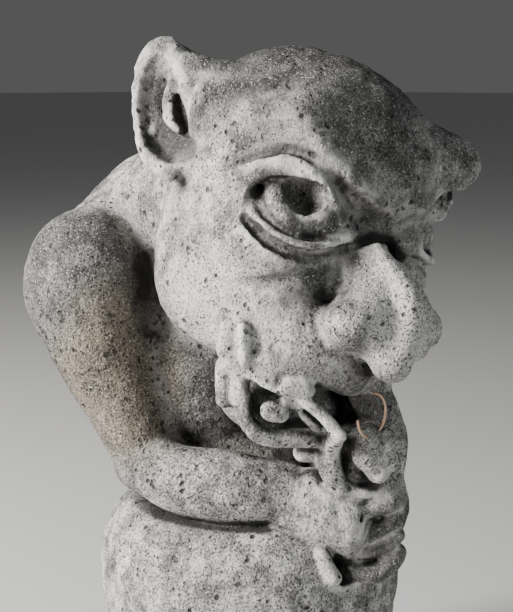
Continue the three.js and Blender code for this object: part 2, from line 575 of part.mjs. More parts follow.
// merges the points that matter least until the surface has the wanted number of triangles
function thinOut(surface, wanted) {
  const points = surface.points.map((point) => point.slice());
  const faces = surface.faces.map((face) => face.slice());
  const around = points.map(() => new Set());
  const errors = points.map(() => new Float64Array(10));
  const normalOf = ([a, b, c]) => {
    const [p, q, r] = [points[a], points[b], points[c]];
    const u = [q[0] - p[0], q[1] - p[1], q[2] - p[2]];
    const v = [r[0] - p[0], r[1] - p[1], r[2] - p[2]];
    return [u[1] * v[2] - u[2] * v[1], u[2] * v[0] - u[0] * v[2], u[0] * v[1] - u[1] * v[0]];
  };
  faces.forEach((face, number) => {
    const n = normalOf(face);
    const size = Math.hypot(...n) || TINY;
    const [x, y, z] = n.map((value) => value / size);
    const w = -(x * points[face[0]][0] + y * points[face[0]][1] + z * points[face[0]][2]);
    const plane = [x * x, x * y, x * z, x * w, y * y, y * z, y * w, z * z, z * w, w * w];
    for (const corner of face) {
      around[corner].add(number);
      const weight = points[corner][1] < FACE_BACK ? size * FACE_CARE : size;
      plane.forEach((value, i) => {
        errors[corner][i] += value * weight;
      });
    }
  });
  const costAt = (e, [x, y, z]) => e[0] * x * x + 2 * e[1] * x * y + 2 * e[2] * x * z + 2 * e[3] * x
    + e[4] * y * y + 2 * e[5] * y * z + 2 * e[6] * y + e[7] * z * z + 2 * e[8] * z + e[9];
  const bestSpot = (a, b) => {
    const e = errors[a].map((value, i) => value + errors[b][i]);
    const middle = points[a].map((value, i) => (value + points[b][i]) / 2);
    const size = e[0] + e[4] + e[7];
    const matrix = new THREE.Matrix3().set(e[0], e[1], e[2], e[1], e[4], e[5], e[2], e[5], e[7]);
    const choices = [middle, points[a], points[b]];
    if (Math.abs(matrix.determinant()) > LEAST_DETERMINANT * size ** 3) {
      const exact = new THREE.Vector3(-e[3], -e[6], -e[8]).applyMatrix3(matrix.clone().invert()).toArray();
      const span = Math.hypot(...points[a].map((value, i) => value - points[b][i]));
      if (Math.hypot(...exact.map((value, i) => value - middle[i])) < span) {
        choices.unshift(exact);
      }
    }
    let best = null;
    for (const spot of choices) {
      const cost = Math.max(0, costAt(e, spot));
      if (best === null || cost < best.cost) {
        best = { spot, cost };
      }
    }
    return best;
  };
  const heap = [];
  const push = (item) => {
    let child = heap.push(item) - 1;
    while (child > 0) {
      const parent = (child - 1) >> 1;
      if (heap[parent].cost <= heap[child].cost) {
        break;
      }
      [heap[parent], heap[child]] = [heap[child], heap[parent]];
      child = parent;
    }
  };
  const pop = () => {
    const top = heap[0];
    const end = heap.pop();
    if (heap.length > 0) {
      heap[0] = end;
      let parent = 0;
      for (;;) {
        const left = parent * 2 + 1;
        const right = left + 1;
        let least = parent;
        if (left < heap.length && heap[left].cost < heap[least].cost) {
          least = left;
        }
        if (right < heap.length && heap[right].cost < heap[least].cost) {
          least = right;
        }
        if (least === parent) {
          break;
        }
        [heap[parent], heap[least]] = [heap[least], heap[parent]];
        parent = least;
      }
    }
    return top;
  };
  const version = new Int32Array(points.length);
  const neighbours = (a) => {
    const found = new Set();
    for (const number of around[a]) {
      for (const corner of faces[number]) {
        if (corner !== a) {
          found.add(corner);
        }
      }
    }
    return found;
  };
  const offer = (a, b) => {
    const best = bestSpot(a, b);
    push({ a, b, spot: best.spot, cost: best.cost, stamp: version[a] + version[b] });
  };
  points.forEach((_, a) => {
    for (const b of neighbours(a)) {
      if (a < b) {
        offer(a, b);
      }
    }
  });
  const turnsOver = (a, b, spot) => {
    for (const number of around[a]) {
      if (!faces[number].includes(b)) {
        const before = normalOf(faces[number]);
        const old = points[a];
        points[a] = spot;
        const after = normalOf(faces[number]);
        points[a] = old;
        const sizes = Math.hypot(...before) * Math.hypot(...after);
        const dot = before[0] * after[0] + before[1] * after[1] + before[2] * after[2];
        const longest = Math.max(...faces[number].map((corner) =>
          Math.hypot(...(corner === a ? spot : points[corner]).map((value, i) => value - spot[i]))));
        const thin = Math.hypot(...after) < LEAST_FACE_SHARE * longest * longest;
        if (thin || dot < LEAST_TURN_COSINE * sizes) {
          return true;
        }
      }
    }
    return false;
  };
  const gone = new Uint8Array(points.length);
  let left = faces.length;
  while (left > wanted && heap.length > 0) {
    const { a, b, spot, stamp } = pop();
    if (gone[a] || gone[b] || stamp !== version[a] + version[b]) {
      continue;
    }
    const shared = [...neighbours(a)].filter((corner) => neighbours(b).has(corner));
    if (shared.length !== 2 || turnsOver(a, b, spot) || turnsOver(b, a, spot)) {
      continue;
    }
    points[a] = spot;
    errors[a] = errors[a].map((value, i) => value + errors[b][i]);
    gone[b] = 1;
    for (const number of [...around[b]]) {
      const face = faces[number];
      if (face.includes(a)) {
        for (const corner of face) {
          around[corner].delete(number);
        }
        faces[number] = null;
        left -= 1;
      } else {
        face[face.indexOf(b)] = a;
        around[a].add(number);
      }
    }
    around[b].clear();
    version[a] += 1;
    for (const corner of neighbours(a)) {
      offer(Math.min(a, corner), Math.max(a, corner));
    }
  }
  const numbers = new Int32Array(points.length).fill(-1);
  const kept = [];
  points.forEach((point, a) => {
    if (!gone[a] && around[a].size > 0) {
      numbers[a] = kept.length;
      kept.push(point);
    }
  });
  const lastFaces = faces.filter((face) => face !== null);
  return { points: kept, faces: lastFaces.map((face) => face.map((corner) => numbers[corner])) };
}

const wasm = await Module();
wasm.setup();

function solidOf(points, faces) {
  return new wasm.Manifold(new wasm.Mesh({
    numProp: 3,
    vertProperties: new Float32Array(points.flat()),
    triVerts: new Uint32Array(faces.flat()),
  }));
}

function solidOfGeometry(geometry) {
  const plain = geometry.clone();
  plain.deleteAttribute("uv");
  plain.deleteAttribute("normal");
  const welded = mergeVertices(plain, WELD);
  return new wasm.Manifold(new wasm.Mesh({
    numProp: 3,
    vertProperties: new Float32Array(welded.getAttribute("position").array),
    triVerts: new Uint32Array(welded.index.array),
  }));
}

function geometryOf(solid) {
  const mesh = solid.getMesh();
  const geometry = new THREE.BufferGeometry();
  geometry.setAttribute("position", new THREE.BufferAttribute(new Float32Array(mesh.vertProperties), 3));
  geometry.setIndex(new THREE.BufferAttribute(new Uint32Array(mesh.triVerts), 1));
  return geometry;
}

// the outer skin of a solid alone: hollows shut inside the plaster are cast full
function outerSkin(solid) {
  return solid.decompose().reduce((a, b) => (b.volume() > a.volume() ? b : a));
}

function figureSolid() {
  const clay = new Clay(CLAY_LOW, CLAY_HIGH, CLAY_STEP);
  for (const group of WORLD_GROUPS) {
    Object.values(group).forEach((form) => clay.add(form));
  }
  clay.frame = { turn: turnMatrix([0, HEAD_TIP_DEGREES, 0]), at: new THREE.Vector3(...HEAD_CENTRE) };
  for (const group of HEAD_GROUPS) {
    Object.values(group).forEach((form) => clay.add(form));
  }
  clay.frame = { turn: new THREE.Matrix3(), at: new THREE.Vector3() };
  for (const group of LAST_GROUPS) {
    Object.values(group).forEach((form) => clay.add(form));
  }
  // the figure ends on a level cut inside the plinth
  for (let i = 0; i < clay.count[0]; i += 1) {
    for (let j = 0; j < clay.count[1]; j += 1) {
      for (let k = 0; k < clay.count[2]; k += 1) {
        const z = clay.low[2] + k * clay.step;
        const spot = clay.index(i, j, k);
        clay.values[spot] = Math.max(clay.values[spot], FIGURE_FOOT - z);
      }
    }
  }
  fillPinches(clay);
  const thin = thinOut(claySurface(clay), FIGURE_TRIANGLES);
  return solidOf(thin.points, thin.faces);
}

function plinthSolid() {
  const points = PLINTH_OUTLINE.map(([radius, height]) => [radius, height, 0]);
  const foot = points.slice(0, 2).map(([radius, height]) => new THREE.Vector2(radius, height));
  const curve = new THREE.CatmullRomCurve3(points.slice(2).map((point) => new THREE.Vector3(...point)));
  const along = curve.getPoints((points.length - 3) * OUTLINE_STEPS);
  const sides = along.map(({ x, y }) => new THREE.Vector2(x, y));
  const top = PLINTH_OUTLINE[PLINTH_OUTLINE.length - 1][1];
  const outline = [new THREE.Vector2(0, 0), ...foot, ...sides, new THREE.Vector2(0, top)];
  const drum = new THREE.LatheGeometry(outline, PLINTH_SIDES);
  drum.rotateX(Math.PI / 2);
  return solidOfGeometry(drum);
}

function ringGeometry(wireRadius, steps, wireSteps) {
  const ring = new THREE.TorusGeometry(RING_RADIUS, wireRadius, wireSteps, steps);
  ring.rotateX(Math.PI / 2);
  ring.rotateZ(THREE.MathUtils.degToRad(RING_TURN_DEGREES));
  ring.translate(...RING_CENTRE);
  return ring;
}

// the plinth is cut back to a level ledge where the lumps stand below the hands
function ledgeSolid() {
  const { centre, half } = FRONT_LUMPS.ledge;
  const box = new THREE.BoxGeometry(...half.map((value) => 2 * value));
  box.translate(...centre);
  return solidOfGeometry(box);
}

const figure = figureSolid();
const plinth = plinthSolid().subtract(ledgeSolid());
const hole = solidOfGeometry(ringGeometry(WIRE_RADIUS + RING_PLAY, RING_STEPS, WIRE_STEPS));
const cast = outerSkin(plinth.add(figure).subtract(hole));

const plaster = new THREE.MeshStandardMaterial({ color: 0xb4b1a9, roughness: 0.95, metalness: 0 });
plaster.name = "plaster";
const copper = new THREE.MeshStandardMaterial({ color: 0xb08a64, roughness: 0.4, metalness: 1 });
copper.name = "wire";

const gargoyle = new THREE.Mesh(geometryOf(cast), plaster);
gargoyle.name = "gargoyle";
const wire = solidOfGeometry(ringGeometry(WIRE_RADIUS, RING_STEPS, WIRE_STEPS));
const wireRing = new THREE.Mesh(geometryOf(wire), copper);
wireRing.name = "wire_ring";

const part = new THREE.Group();
part.name = "plaster_gargoyle";
part.add(gargoyle, wireRing);

export default part;
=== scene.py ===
import itertools
import math

import bpy
import numpy as np
from bpy.props import FloatProperty, FloatVectorProperty, IntProperty, PointerProperty
from bpy.types import Operator, Panel, PropertyGroup
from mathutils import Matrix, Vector


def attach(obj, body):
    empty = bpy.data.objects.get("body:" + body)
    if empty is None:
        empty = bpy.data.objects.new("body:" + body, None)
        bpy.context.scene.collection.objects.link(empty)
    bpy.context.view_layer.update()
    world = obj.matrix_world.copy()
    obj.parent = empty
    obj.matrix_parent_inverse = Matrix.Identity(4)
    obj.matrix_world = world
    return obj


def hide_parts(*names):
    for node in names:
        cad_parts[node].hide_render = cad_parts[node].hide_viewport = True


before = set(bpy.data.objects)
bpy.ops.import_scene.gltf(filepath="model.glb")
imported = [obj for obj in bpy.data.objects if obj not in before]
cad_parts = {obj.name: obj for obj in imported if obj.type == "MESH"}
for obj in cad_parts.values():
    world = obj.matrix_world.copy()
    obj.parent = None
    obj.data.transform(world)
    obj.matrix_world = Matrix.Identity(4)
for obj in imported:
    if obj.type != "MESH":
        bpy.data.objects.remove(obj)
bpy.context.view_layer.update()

bl_info = {
    "name": "Plaster Gargoyle",
    "version": (1, 0, 0),
    "blender": (4, 5, 0),
    "location": "View3D > Sidebar > Gargoyle",
    "description": "A weathered plaster gargoyle on its round plinth, with a wire ring in its hands",
    "category": "Object",
}

MM = 0.001

# where the head sits on the body, in millimetres, and how far it is tipped to the figure's left
HEAD_CENTRE = (0, -34, 265)
HEAD_TIP_DEGREES = 10

# the wire ring that hangs between the hands and the lip, in millimetres
RING_CENTRE = (-7.7, -82.7, 187.8)
RING_TURN_DEGREES = 1.5
RING_START_DEGREES = 182

# the block of clay that the figure is modelled in, in millimetres
CLAY_LOW = (-108, -120, -6)
CLAY_HIGH = (108, 112, 362)
EMPTY = 60.0
TINY = 1e-6
PINCH_FILL = -0.02
LIMB_SPACING = 0.2
LIMB_MOST_STEPS = 20
FOOT_BAND = 4

# the camera of the photograph, looking at the middle of the picture
LOOK_AT = (-3.7, -8.3, 226)
CAMERA_AZIMUTH = -45
CAMERA_ELEVATION = 10
CAMERA_DISTANCE = 0.6
CAMERA_LENS = 75.1
SENSOR = 36
AIR_STRENGTH = 0.16
FLOOR_HALF = 30

# tan stains: centre, reach and strength
STAINS = (((-66, 16, 200), (34, 40, 50), 0.95), ((-30, -10, 150), (30, 40, 18), 0.4),
          ((-40, -30, 226), (16, 16, 22), 0.35))

# greyer places, partly real weathering and partly painted shade where the light falls least: the crown, the brow,
# round the eye, the shoulder, the elbow and the hands' front
WEATHERED_AND_SHADED = (((0, -10, 345), (90, 90, 56), 1.0), ((10, -80, 300), (60, 34, 44), 0.7),
             ((-28, -76, 260), (30, 24, 32), 1.0), ((-74, 50, 236), (40, 56, 46), 0.8),
             ((-66, 30, 180), (34, 40, 40), 0.95), ((6, -88, 134), (18, 16, 26), 1.0),
             ((-24, -62, 205), (26, 24, 16), 0.7), ((10, -66, 168), (14, 12, 30), 0.8), ((0, 0, 60), (90, 90, 60), 0.45),
             ((-55, -2, 318), (17, 26, 34), 0.9), ((-35, -66, 284), (12, 12, 12), 0.9),
             ((-46, -56, 296), (20, 24, 14), 0.5), ((-48, -60, 214), (24, 22, 8), 0.6),
             ((10, -80, 120), (30, 24, 16), 0.8), ((-40, 0, 190), (30, 40, 30), 0.6))

# painted light: paler places where the light falls most, on the nose, the cheek and the upper lip
PAINTED_LIGHT_PATCHES = (((-8, -100, 238), (24, 24, 34), 0.9), ((-54, -36, 236), (30, 34, 30), 0.7),
         ((-42, -66, 208), (26, 24, 14), 0.4))


# forms that the figure is modelled from, each in millimetres
# softness is how far a form melts into what is already there

def ball(centre, radii, softness, turn=(0, 0, 0)):
    return {"kind": "ball", "centre": centre, "radii": radii, "softness": softness, "turn": turn}


def limb(points, radii, softness):
    return {"kind": "limb", "points": points, "radii": radii, "softness": softness}


def block(centre, halves, rounding, softness, turn=(0, 0, 0)):
    return {"kind": "block", "centre": centre, "halves": halves, "rounding": rounding,
            "softness": softness, "turn": turn}


# the same form taken away instead of added
def hollow(form):
    return {**form, "cut": True}


# forms made on the figure's right and again on its left, where they may sit a little further out
def pair(forms, left_shift=(0, 0, 0)):
    return {name: {**form, "sides": (1, -1), "left_shift": left_shift} for name, form in forms.items()}

# turned outline of the plinth from the foot up, as radius and height
PLINTH_OUTLINE = [[76, 0], [76, 12], [70, 16], [67, 30], [69, 60], [72, 85], [72.5, 100],
                  [71.5, 112], [68, 122], [62, 130], [57, 133]]

# chest, belly, back and neck, measured from the middle of the plinth's underside
TORSO = {
    "chest": ball([0, 26, 184], [50, 40, 60], 10),
    "seat": ball([0, 12, 142], [47, 40, 26], 10),
    "upper_back": ball([0, 46, 230], [54, 40, 40], 16),
    "neck": limb([[0, 60, 260], [0, 30, 266], [0, -6, 270]], [37, 41, 42], 14),
}

# shoulders and arms, given for the right side
ARMS = pair({
    "neck_muscle": limb([[-22, 63, 256], [-46, 58, 249]], [26, 22], 9),
    "shoulder": ball([-59, 51, 238], [27, 29, 33], 8),
    "upper_arm": limb([[-61, 47, 232], [-60, 40, 212], [-56, 29, 186], [-54, 15, 160]], [26, 24, 19, 14],
        8),
    "forearm": limb([[-54, 14, 155], [-49, -6, 151], [-37, -26, 149], [-20, -43, 146]],
        [13.5, 15.5, 17, 14], 5),
})

# right hand, whose fingers wrap across the front
RIGHT_HAND = {
    "back": ball([-11, -57, 142], [12, 15, 15], 7, [0, 0, -40]),
    "thumb": limb([[-15, -53, 143], [-14.5, -54.6, 149.5], [-14.6, -54.8, 154.6]], [7, 5.8, 4.2], 4),
    "heel": limb([[-23, -49, 138], [-14, -59, 131], [-6.5, -68, 124]], [7, 7, 6], 6),
    "knuckles": ball([-5.5, -68, 137], [9, 11, 13], 6, [0, 0, -40]),
    "first_finger": limb([[-2.5, -71.5, 140], [2, -77.5, 142.5], [6.5, -81.5, 144], [11.5, -83.5, 145]],
        [4.4, 4.6, 4.4, 4], 1.2),
    "middle_finger": limb([[-2, -69, 127], [4, -76, 131.5], [7.5, -79.8, 134], [11.5, -82, 137]],
        [5, 5.4, 5.2, 4.8], 1.2),
    "last_finger": limb([[-2.5, -67.5, 120], [4.2, -76, 122.5], [7.8, -80, 125], [11.5, -82.5, 128.5]],
        [4.8, 4.8, 4.6, 4.4], 1.2),
    "thumb_hollow": hollow(limb([[-14.4, -62, 153], [-13.6, -63, 150], [-12.8, -64, 146.5]], [2.2, 3, 2],
        2)),
    "crack": hollow(limb([[-5, -77.6, 142.5], [-6.8, -76.4, 139.4], [-8.5, -75.4, 137.9],
        [-8.2, -76, 135.4], [-9, -75, 132]], [1.4, 1.4, 1.1, 0.9, 0.8], 0.6)),
}

# left hand, closed behind the right one
LEFT_HAND = {
    "back": ball([12, -62, 140], [13, 16, 18], 6, [0, 0, 40]),
    "knuckles": limb([[15, -74.5, 150.5], [15, -76.5, 139], [14, -71, 122]], [7, 8.5, 8], 3),
}

# small animal held in both hands, its hind part in the mouth and its head hanging
SMALL_ANIMAL = {
    "body": limb([[7, -66, 198], [9, -71, 186], [11, -75, 168], [9, -72, 150]], [10, 10, 10.5, 10], 4),
    "shoulder": ball([14, -54.5, 181.5], [9, 9, 10], 4),
    "flank": limb([[-1, -66, 172], [-1, -67, 158]], [8, 8], 3),
    "leg": limb([[-15.4, -69, 177.5], [-17, -68, 171.8], [-17.2, -67.2, 165.2], [-15.2, -67, 159.5],
        [-11.5, -69.5, 153.5]], [4.2, 5, 5.4, 5, 3.6], 2),
    "hock": limb([[-29.2, -83, 183], [-24, -76.5, 178.5], [-18, -69.5, 173.5]], [2.8, 3.4, 4.2], 2),
    "foot": limb([[-23, -56.6, 169], [-18.8, -60, 168.8]], [4.4, 4.4], 2),
    "cuff": limb([[-12, -69, 153.6], [-5, -74, 150.5], [4, -79, 150]], [3.2, 3, 3], 2),
    "skull": ball([-5, -78, 173], [9, 9, 10], 2.5),
    "snout": limb([[-5, -79, 172], [-2, -82, 161]], [8, 5], 3),
    "nostril": hollow(ball([-6.9, -85.8, 162], [2.2, 2.2, 2.2], 1)),
    "ear": limb([[1, -84, 176], [2, -84, 166]], [5, 5.5], 2),
}

# lumps that stand on a ledge of the plinth below the hands
FRONT_LUMPS = {
    "ledge": hollow(block([8, -78, 113], [20, 17, 5.2], 1, 1)),
    "filling": ball([5, -62, 114], [12, 12, 12], 4),
    "side_block": limb([[-19, -64, 122.5], [-18.6, -67, 117], [-17, -69.8, 112.4]], [3.6, 4, 4.2], 1.2),
    "curl": limb([[-4.6, -68, 113], [1.4, -75, 110.8], [5.4, -79.7, 113.3], [10.1, -82.4, 116.8],
        [14, -81.5, 119.5]], [4.6, 5, 4.8, 4.4, 4.4], 1.5),
    "gap": hollow(limb([[-11.6, -67, 119.5], [-11.4, -68, 114.5], [-10.6, -69, 111]], [2.4, 3.2, 3], 1)),
}

# head masses, measured from the middle of the head in its own tilted frame
HEAD = {
    "skull": ball([0, 10, 24], [57, 56, 57], 14),
    "forehead": ball([0, -16, 32], [44, 42, 36], 14),
    "lower_head": ball([0, 14, -16], [50, 44, 44], 14),
    "muzzle": ball([0, -12, -46], [45, 39, 24], 8),
}

# jowls and cheeks
CHEEKS = pair({
    "jowl": ball([-32, 18, -26], [23, 29, 29], 16),
    "cheek": ball([-36, -6, -14], [20, 28, 28], 14),
}, [3, -5, 0])

# heavy brows with a sharp lower edge
BROWS = pair({
    "mass": ball([-25, -18, 40], [17, 24, 18], 8, [0, 0, -30]),
    "ridge": limb([[-40, 1, 37], [-36, -10, 41], [-32, -21, 43], [-29, -31, 38], [-24, -39, 30],
        [-18, -45, 21], [-11, -49, 14]], [7, 8, 8.5, 8, 7, 6, 5], 5),
    "crest": limb([[-50, -4.4, 37], [-46.4, -11.3, 42.7], [-43.3, -19.5, 45], [-40.6, -29.5, 43],
        [-37, -36.5, 36.5], [-33, -40.5, 31], [-26.5, -46, 24], [-20, -50, 17]],
        [4, 6, 6.5, 6.5, 6, 6, 5.5, 4.5], 5),
    "ridge_edge": limb([[-38.3, -32, 32], [-38.7, -38, 28.2], [-36.5, -42, 25.4], [-32.6, -45, 22.5],
        [-28.2, -47.2, 19.7], [-21, -49.5, 16], [-15, -53, 12]], [2.4, 3.4, 3.8, 4, 4, 3.8, 3], 3),
    "brow_fold": hollow(limb([[-55.3, -12.8, 29.7], [-53.7, -16.7, 32], [-51.2, -22.7, 34.3],
        [-49, -29, 35.2], [-46.3, -35, 34.2]], [4, 5, 5, 5, 3.5], 5)),
})

# knob above the left brow
LEFT_KNOB = {
    "arch": limb([[26, -36, 36], [33, -42, 34]], [16, 14], 6),
    "knob": limb([[30, -40, 38], [39, -50, 36]], [14, 12.5], 5),
}

# flat planes, a dent and a chip in the forehead
FOREHEAD_FLAT = {
    "flat": hollow(block([0, -87, 66], [90, 40, 46], 2, 3, [-24, 0, -6])),
    "near_flat": hollow(block([-17.9, -83, 56], [60, 40, 33], 8, 9, [-19.6, 0, -17])),
    "dent": hollow(ball([-19, -56.5, 25], [5, 6.5, 7.5], 3)),
    "crest_chip": hollow(limb([[-44.8, -33.8, 42.8], [-43.6, -36.8, 38.9], [-41.8, -39.1, 34.8],
        [-40.3, -42.4, 30.6]], [1.8, 2.4, 2.4, 1.6], 1.5)),
}

# deep-set eyes with raised lids and a hollow iris
EYES = pair({
    "socket": hollow(ball([-34, -27, 7], [22, 22, 20], 3)),
    "under_eye": ball([-26, -25, -21], [19, 12.5, 12], 5),
    "inner_corner": ball([-13, -36, 0], [8, 8, 10], 4),
    "eyeball": ball([-27, -20, 7], [18.5, 18.5, 18.5], 2),
    "eye_bulge": ball([-22, -33, 5], [10, 9.5, 12], 4),
    "upper_lid": limb([[-50, -10, 14], [-49, -14, 20], [-45, -18.5, 23.6], [-43, -24.5, 24.7],
        [-41, -30, 24.3], [-38.5, -34.6, 22.2], [-36, -38.5, 19], [-32, -41, 16], [-26.5, -43, 12.8],
        [-17, -42.5, 8.4]], [4.4, 6, 6.2, 6.2, 6, 5.6, 5, 4.6, 4, 3.4], 2),
    "lid_bed": limb([[-44, -7, 11], [-44.5, -13, 2.5], [-43, -19, -4], [-40, -24, -8], [-35, -28.5, -10.5],
        [-29, -31.5, -11.5], [-21, -34, -9]], [5, 5.4, 5.8, 6, 6, 6, 5.6], 3),
    "lower_lid": limb([[-48, -9, 10], [-49, -16, 2], [-48, -22, -3], [-44.5, -28, -6.3],
        [-39.5, -33, -8.4], [-33, -37, -9], [-26, -39, -7.8], [-18, -40.5, -4], [-12, -42, 2]],
        [2.6, 2.8, 3, 3, 3, 3.2, 3.4, 3.2, 3], 1.5),
    "iris": hollow(ball([-35.8, -32.5, 13.2], [8.6, 11, 8.6], 1.5)),
    "iris_rim": limb([[-40.5, -19, 14.5], [-42, -21, 10.9], [-42, -24.5, 6.3], [-39.6, -28, 2.3],
        [-35.3, -31, -0.6], [-30, -33, -1.5]], [4.6, 5.2, 5, 4.6, 4.2, 3.4], 1),
    "corner_bed": limb([[-22.5, -34.5, 18], [-16, -37, 12]], [7.5, 7.5], 3),
    "bulge_ridge": limb([[-30.5, -38, 13.8], [-25.5, -39, 12.6], [-18, -39, 9.8]], [1.8, 2.2, 2], 2),
    "lid_crease": hollow(limb([[-53, -10, 23], [-51.5, -14, 25.5], [-49.5, -18, 28], [-47, -23, 29.5],
        [-45, -27, 30.3], [-42.5, -33, 29.2], [-40.5, -37.5, 28], [-37.5, -43, 24.4], [-32.5, -46.5, 20],
        [-24, -50, 15], [-16, -53, 10]], [1.2, 2, 2.2, 2, 1.8, 1.8, 2, 2.2, 2.4, 2.6, 2.4], 2)),
    "groove_under": hollow(limb([[-52.4, -14.5, 0], [-49.5, -23.6, -5.5], [-46.5, -27.5, -9],
        [-42.2, -32, -11], [-36.2, -36.5, -12], [-28, -40, -11.4], [-17, -41, -8]],
        [0.8, 1.8, 2, 2.2, 2.4, 2.4, 2], 3)),
    "inner_hollow": hollow(limb([[-33.2, -44.6, 21.4], [-29.3, -46.2, 16.6], [-24.7, -47, 12.3],
        [-18.4, -47.8, 8], [-9.8, -48.2, 4.7], [-0.4, -49.6, 3.1]], [1.6, 3, 4.4, 5.6, 6, 4.5], 3)),
    "cheek_fold": hollow(limb([[-52, -18, -26.5], [-46, -27, -25], [-40, -36, -22], [-36, -42, -20],
        [-29, -47, -18]], [0.7, 1.8, 2.4, 2.4, 1.6], 4)),
}, [4, -7, 0])

# drooping nose with a narrow ridge
NOSE = {
    "body": limb([[0, -42, -17], [1, -48, -27], [1, -52, -40]], [10, 12.5, 14], 5),
    "square_root": block([-3.5, -46.5, -17], [8.5, 9, 12.5], 2.5, 3, [-22, 0, 27]),
    "drooping_tip": limb([[0, -56, -40], [-2.5, -61, -51]], [11, 7.5], 3),
    "ridge": limb([[-5, -53.5, -10], [-3.4, -58.5, -15], [-1.5, -63, -21], [-0.8, -66.5, -29],
        [-2, -67, -43], [-3.3, -64.3, -53.5]], [3, 4, 5, 6, 6, 7.5], 6),
    "pit": hollow(ball([-11.5, -69, -41], [3, 3.5, 5], 2)),
}

# sides and wings of the nose
NOSTRILS = pair({
    "side": limb([[-7, -46, -17], [-9, -50.5, -25], [-11, -54, -34], [-8, -58, -44]], [6.5, 8.5, 9.5, 8],
        6),
    "root_bed": limb([[-14, -33.5, -10], [-14, -35.5, -18], [-14, -38, -25]], [5.5, 5.5, 5.5], 4),
    "wing": ball([-19, -51, -38], [11, 12, 10.5], 5),
    "wing_root": limb([[-17, -47, -31], [-13, -50, -27]], [6, 6], 4),
}, [2, -4, 0])

# open mouth with thin lips and a folded corner
MOUTH = pair({
    "upper_lip": limb([[-41, -20, -52], [-38, -26, -56.9], [-32, -31, -58.4], [-21.7, -36, -59.4],
        [0, -40, -61]], [5, 6, 7, 7.5, 8], 6),
    "slot": hollow(limb([[-50, -20, -74], [-40, -32, -77], [-26, -46, -78], [0, -54, -78]], [6, 9, 11, 12],
        2)),
    "gape": hollow(ball([-20, -26, -77], [22, 16, 11], 3)),
    "lip_floor": limb([[-43, -14, -61.4], [-36.3, -20.6, -64.1], [-31, -26, -67]], [3.6, 3.6, 3.4], 3),
    "lip_bed": limb([[-45.5, -14.5, -60.5], [-40.5, -20.5, -63], [-35, -26, -66]], [4, 4, 4], 2),
    "lower_lip": limb([[-48.2, -13.7, -62.9], [-44.8, -20.2, -65.1], [-40.6, -25.3, -67.6],
        [-34.3, -31.6, -70.8]], [1.6, 1.7, 1.7, 1.7], 2),
    "corner": ball([-43, -15, -53], [7, 9, 12.5], 3),
    "corner_fold": limb([[-48.5, -10, -46], [-50, -11.5, -54], [-47.5, -13, -61]], [4, 4.6, 3.6], 1.5),
    "corner_crease": hollow(limb([[-46.4, -21.5, -42.5], [-45.8, -25, -49.6], [-45.5, -25, -55]],
        [1.4, 2.4, 2], 2)),
    "corner_rod": limb([[-48.8, -18.1, -45.6], [-48.6, -19.5, -51.8], [-47.4, -20.3, -58.7]],
        [2.6, 3, 2.6], 1),
    "corner_pit": hollow(limb([[-51.8, -17.2, -47], [-51.3, -18, -54]], [1.2, 1.4], 1)),
    "jaw_rim": limb([[-42.2, -14, -65], [-41, -15.1, -75.1], [-39, -16.1, -82.4], [-34.6, -17.5, -88],
        [-29, -20.2, -91.3], [-22.3, -23.8, -91.6], [-14, -28, -91], [0, -32, -90.3]],
        [4, 4, 4.2, 4.4, 4.4, 4.4, 4.4, 4.4], 3),
    "jaw_lobe": limb([[-44, -6, -63], [-41.6, -6.3, -77.3]], [4.4, 4.8], 2),
})

# chin
CHIN = {
    "chin": ball([0, -2, -80], [34, 22, 16], 8),
}

# hind part of the small animal between the lips
MOUTHFUL = {
    "knob": limb([[-33.5, -34.3, -67.3], [-27.5, -38.6, -68.1]], [3.8, 4.1], 1.5),
    "hind_leg": limb([[-27.8, -35.5, -71.5], [-24, -40, -75.3], [-19, -44.5, -79.6], [-15, -49.5, -85.5]],
        [2.6, 2.5, 2.6, 3.2], 1.2),
    "shank": limb([[-30.8, -32.5, -70.3], [-31.5, -30.5, -75.2]], [2.4, 2.6], 1.2),
    "inner_leg": limb([[-28.1, -32.5, -73.4], [-23.6, -34, -78.1], [-17, -38, -84]], [2.4, 2.4, 2.6], 1.5),
    "paw": limb([[-36.1, -27.9, -78.9], [-32.8, -30.1, -79.2]], [4.6, 4.7], 1.2),
}

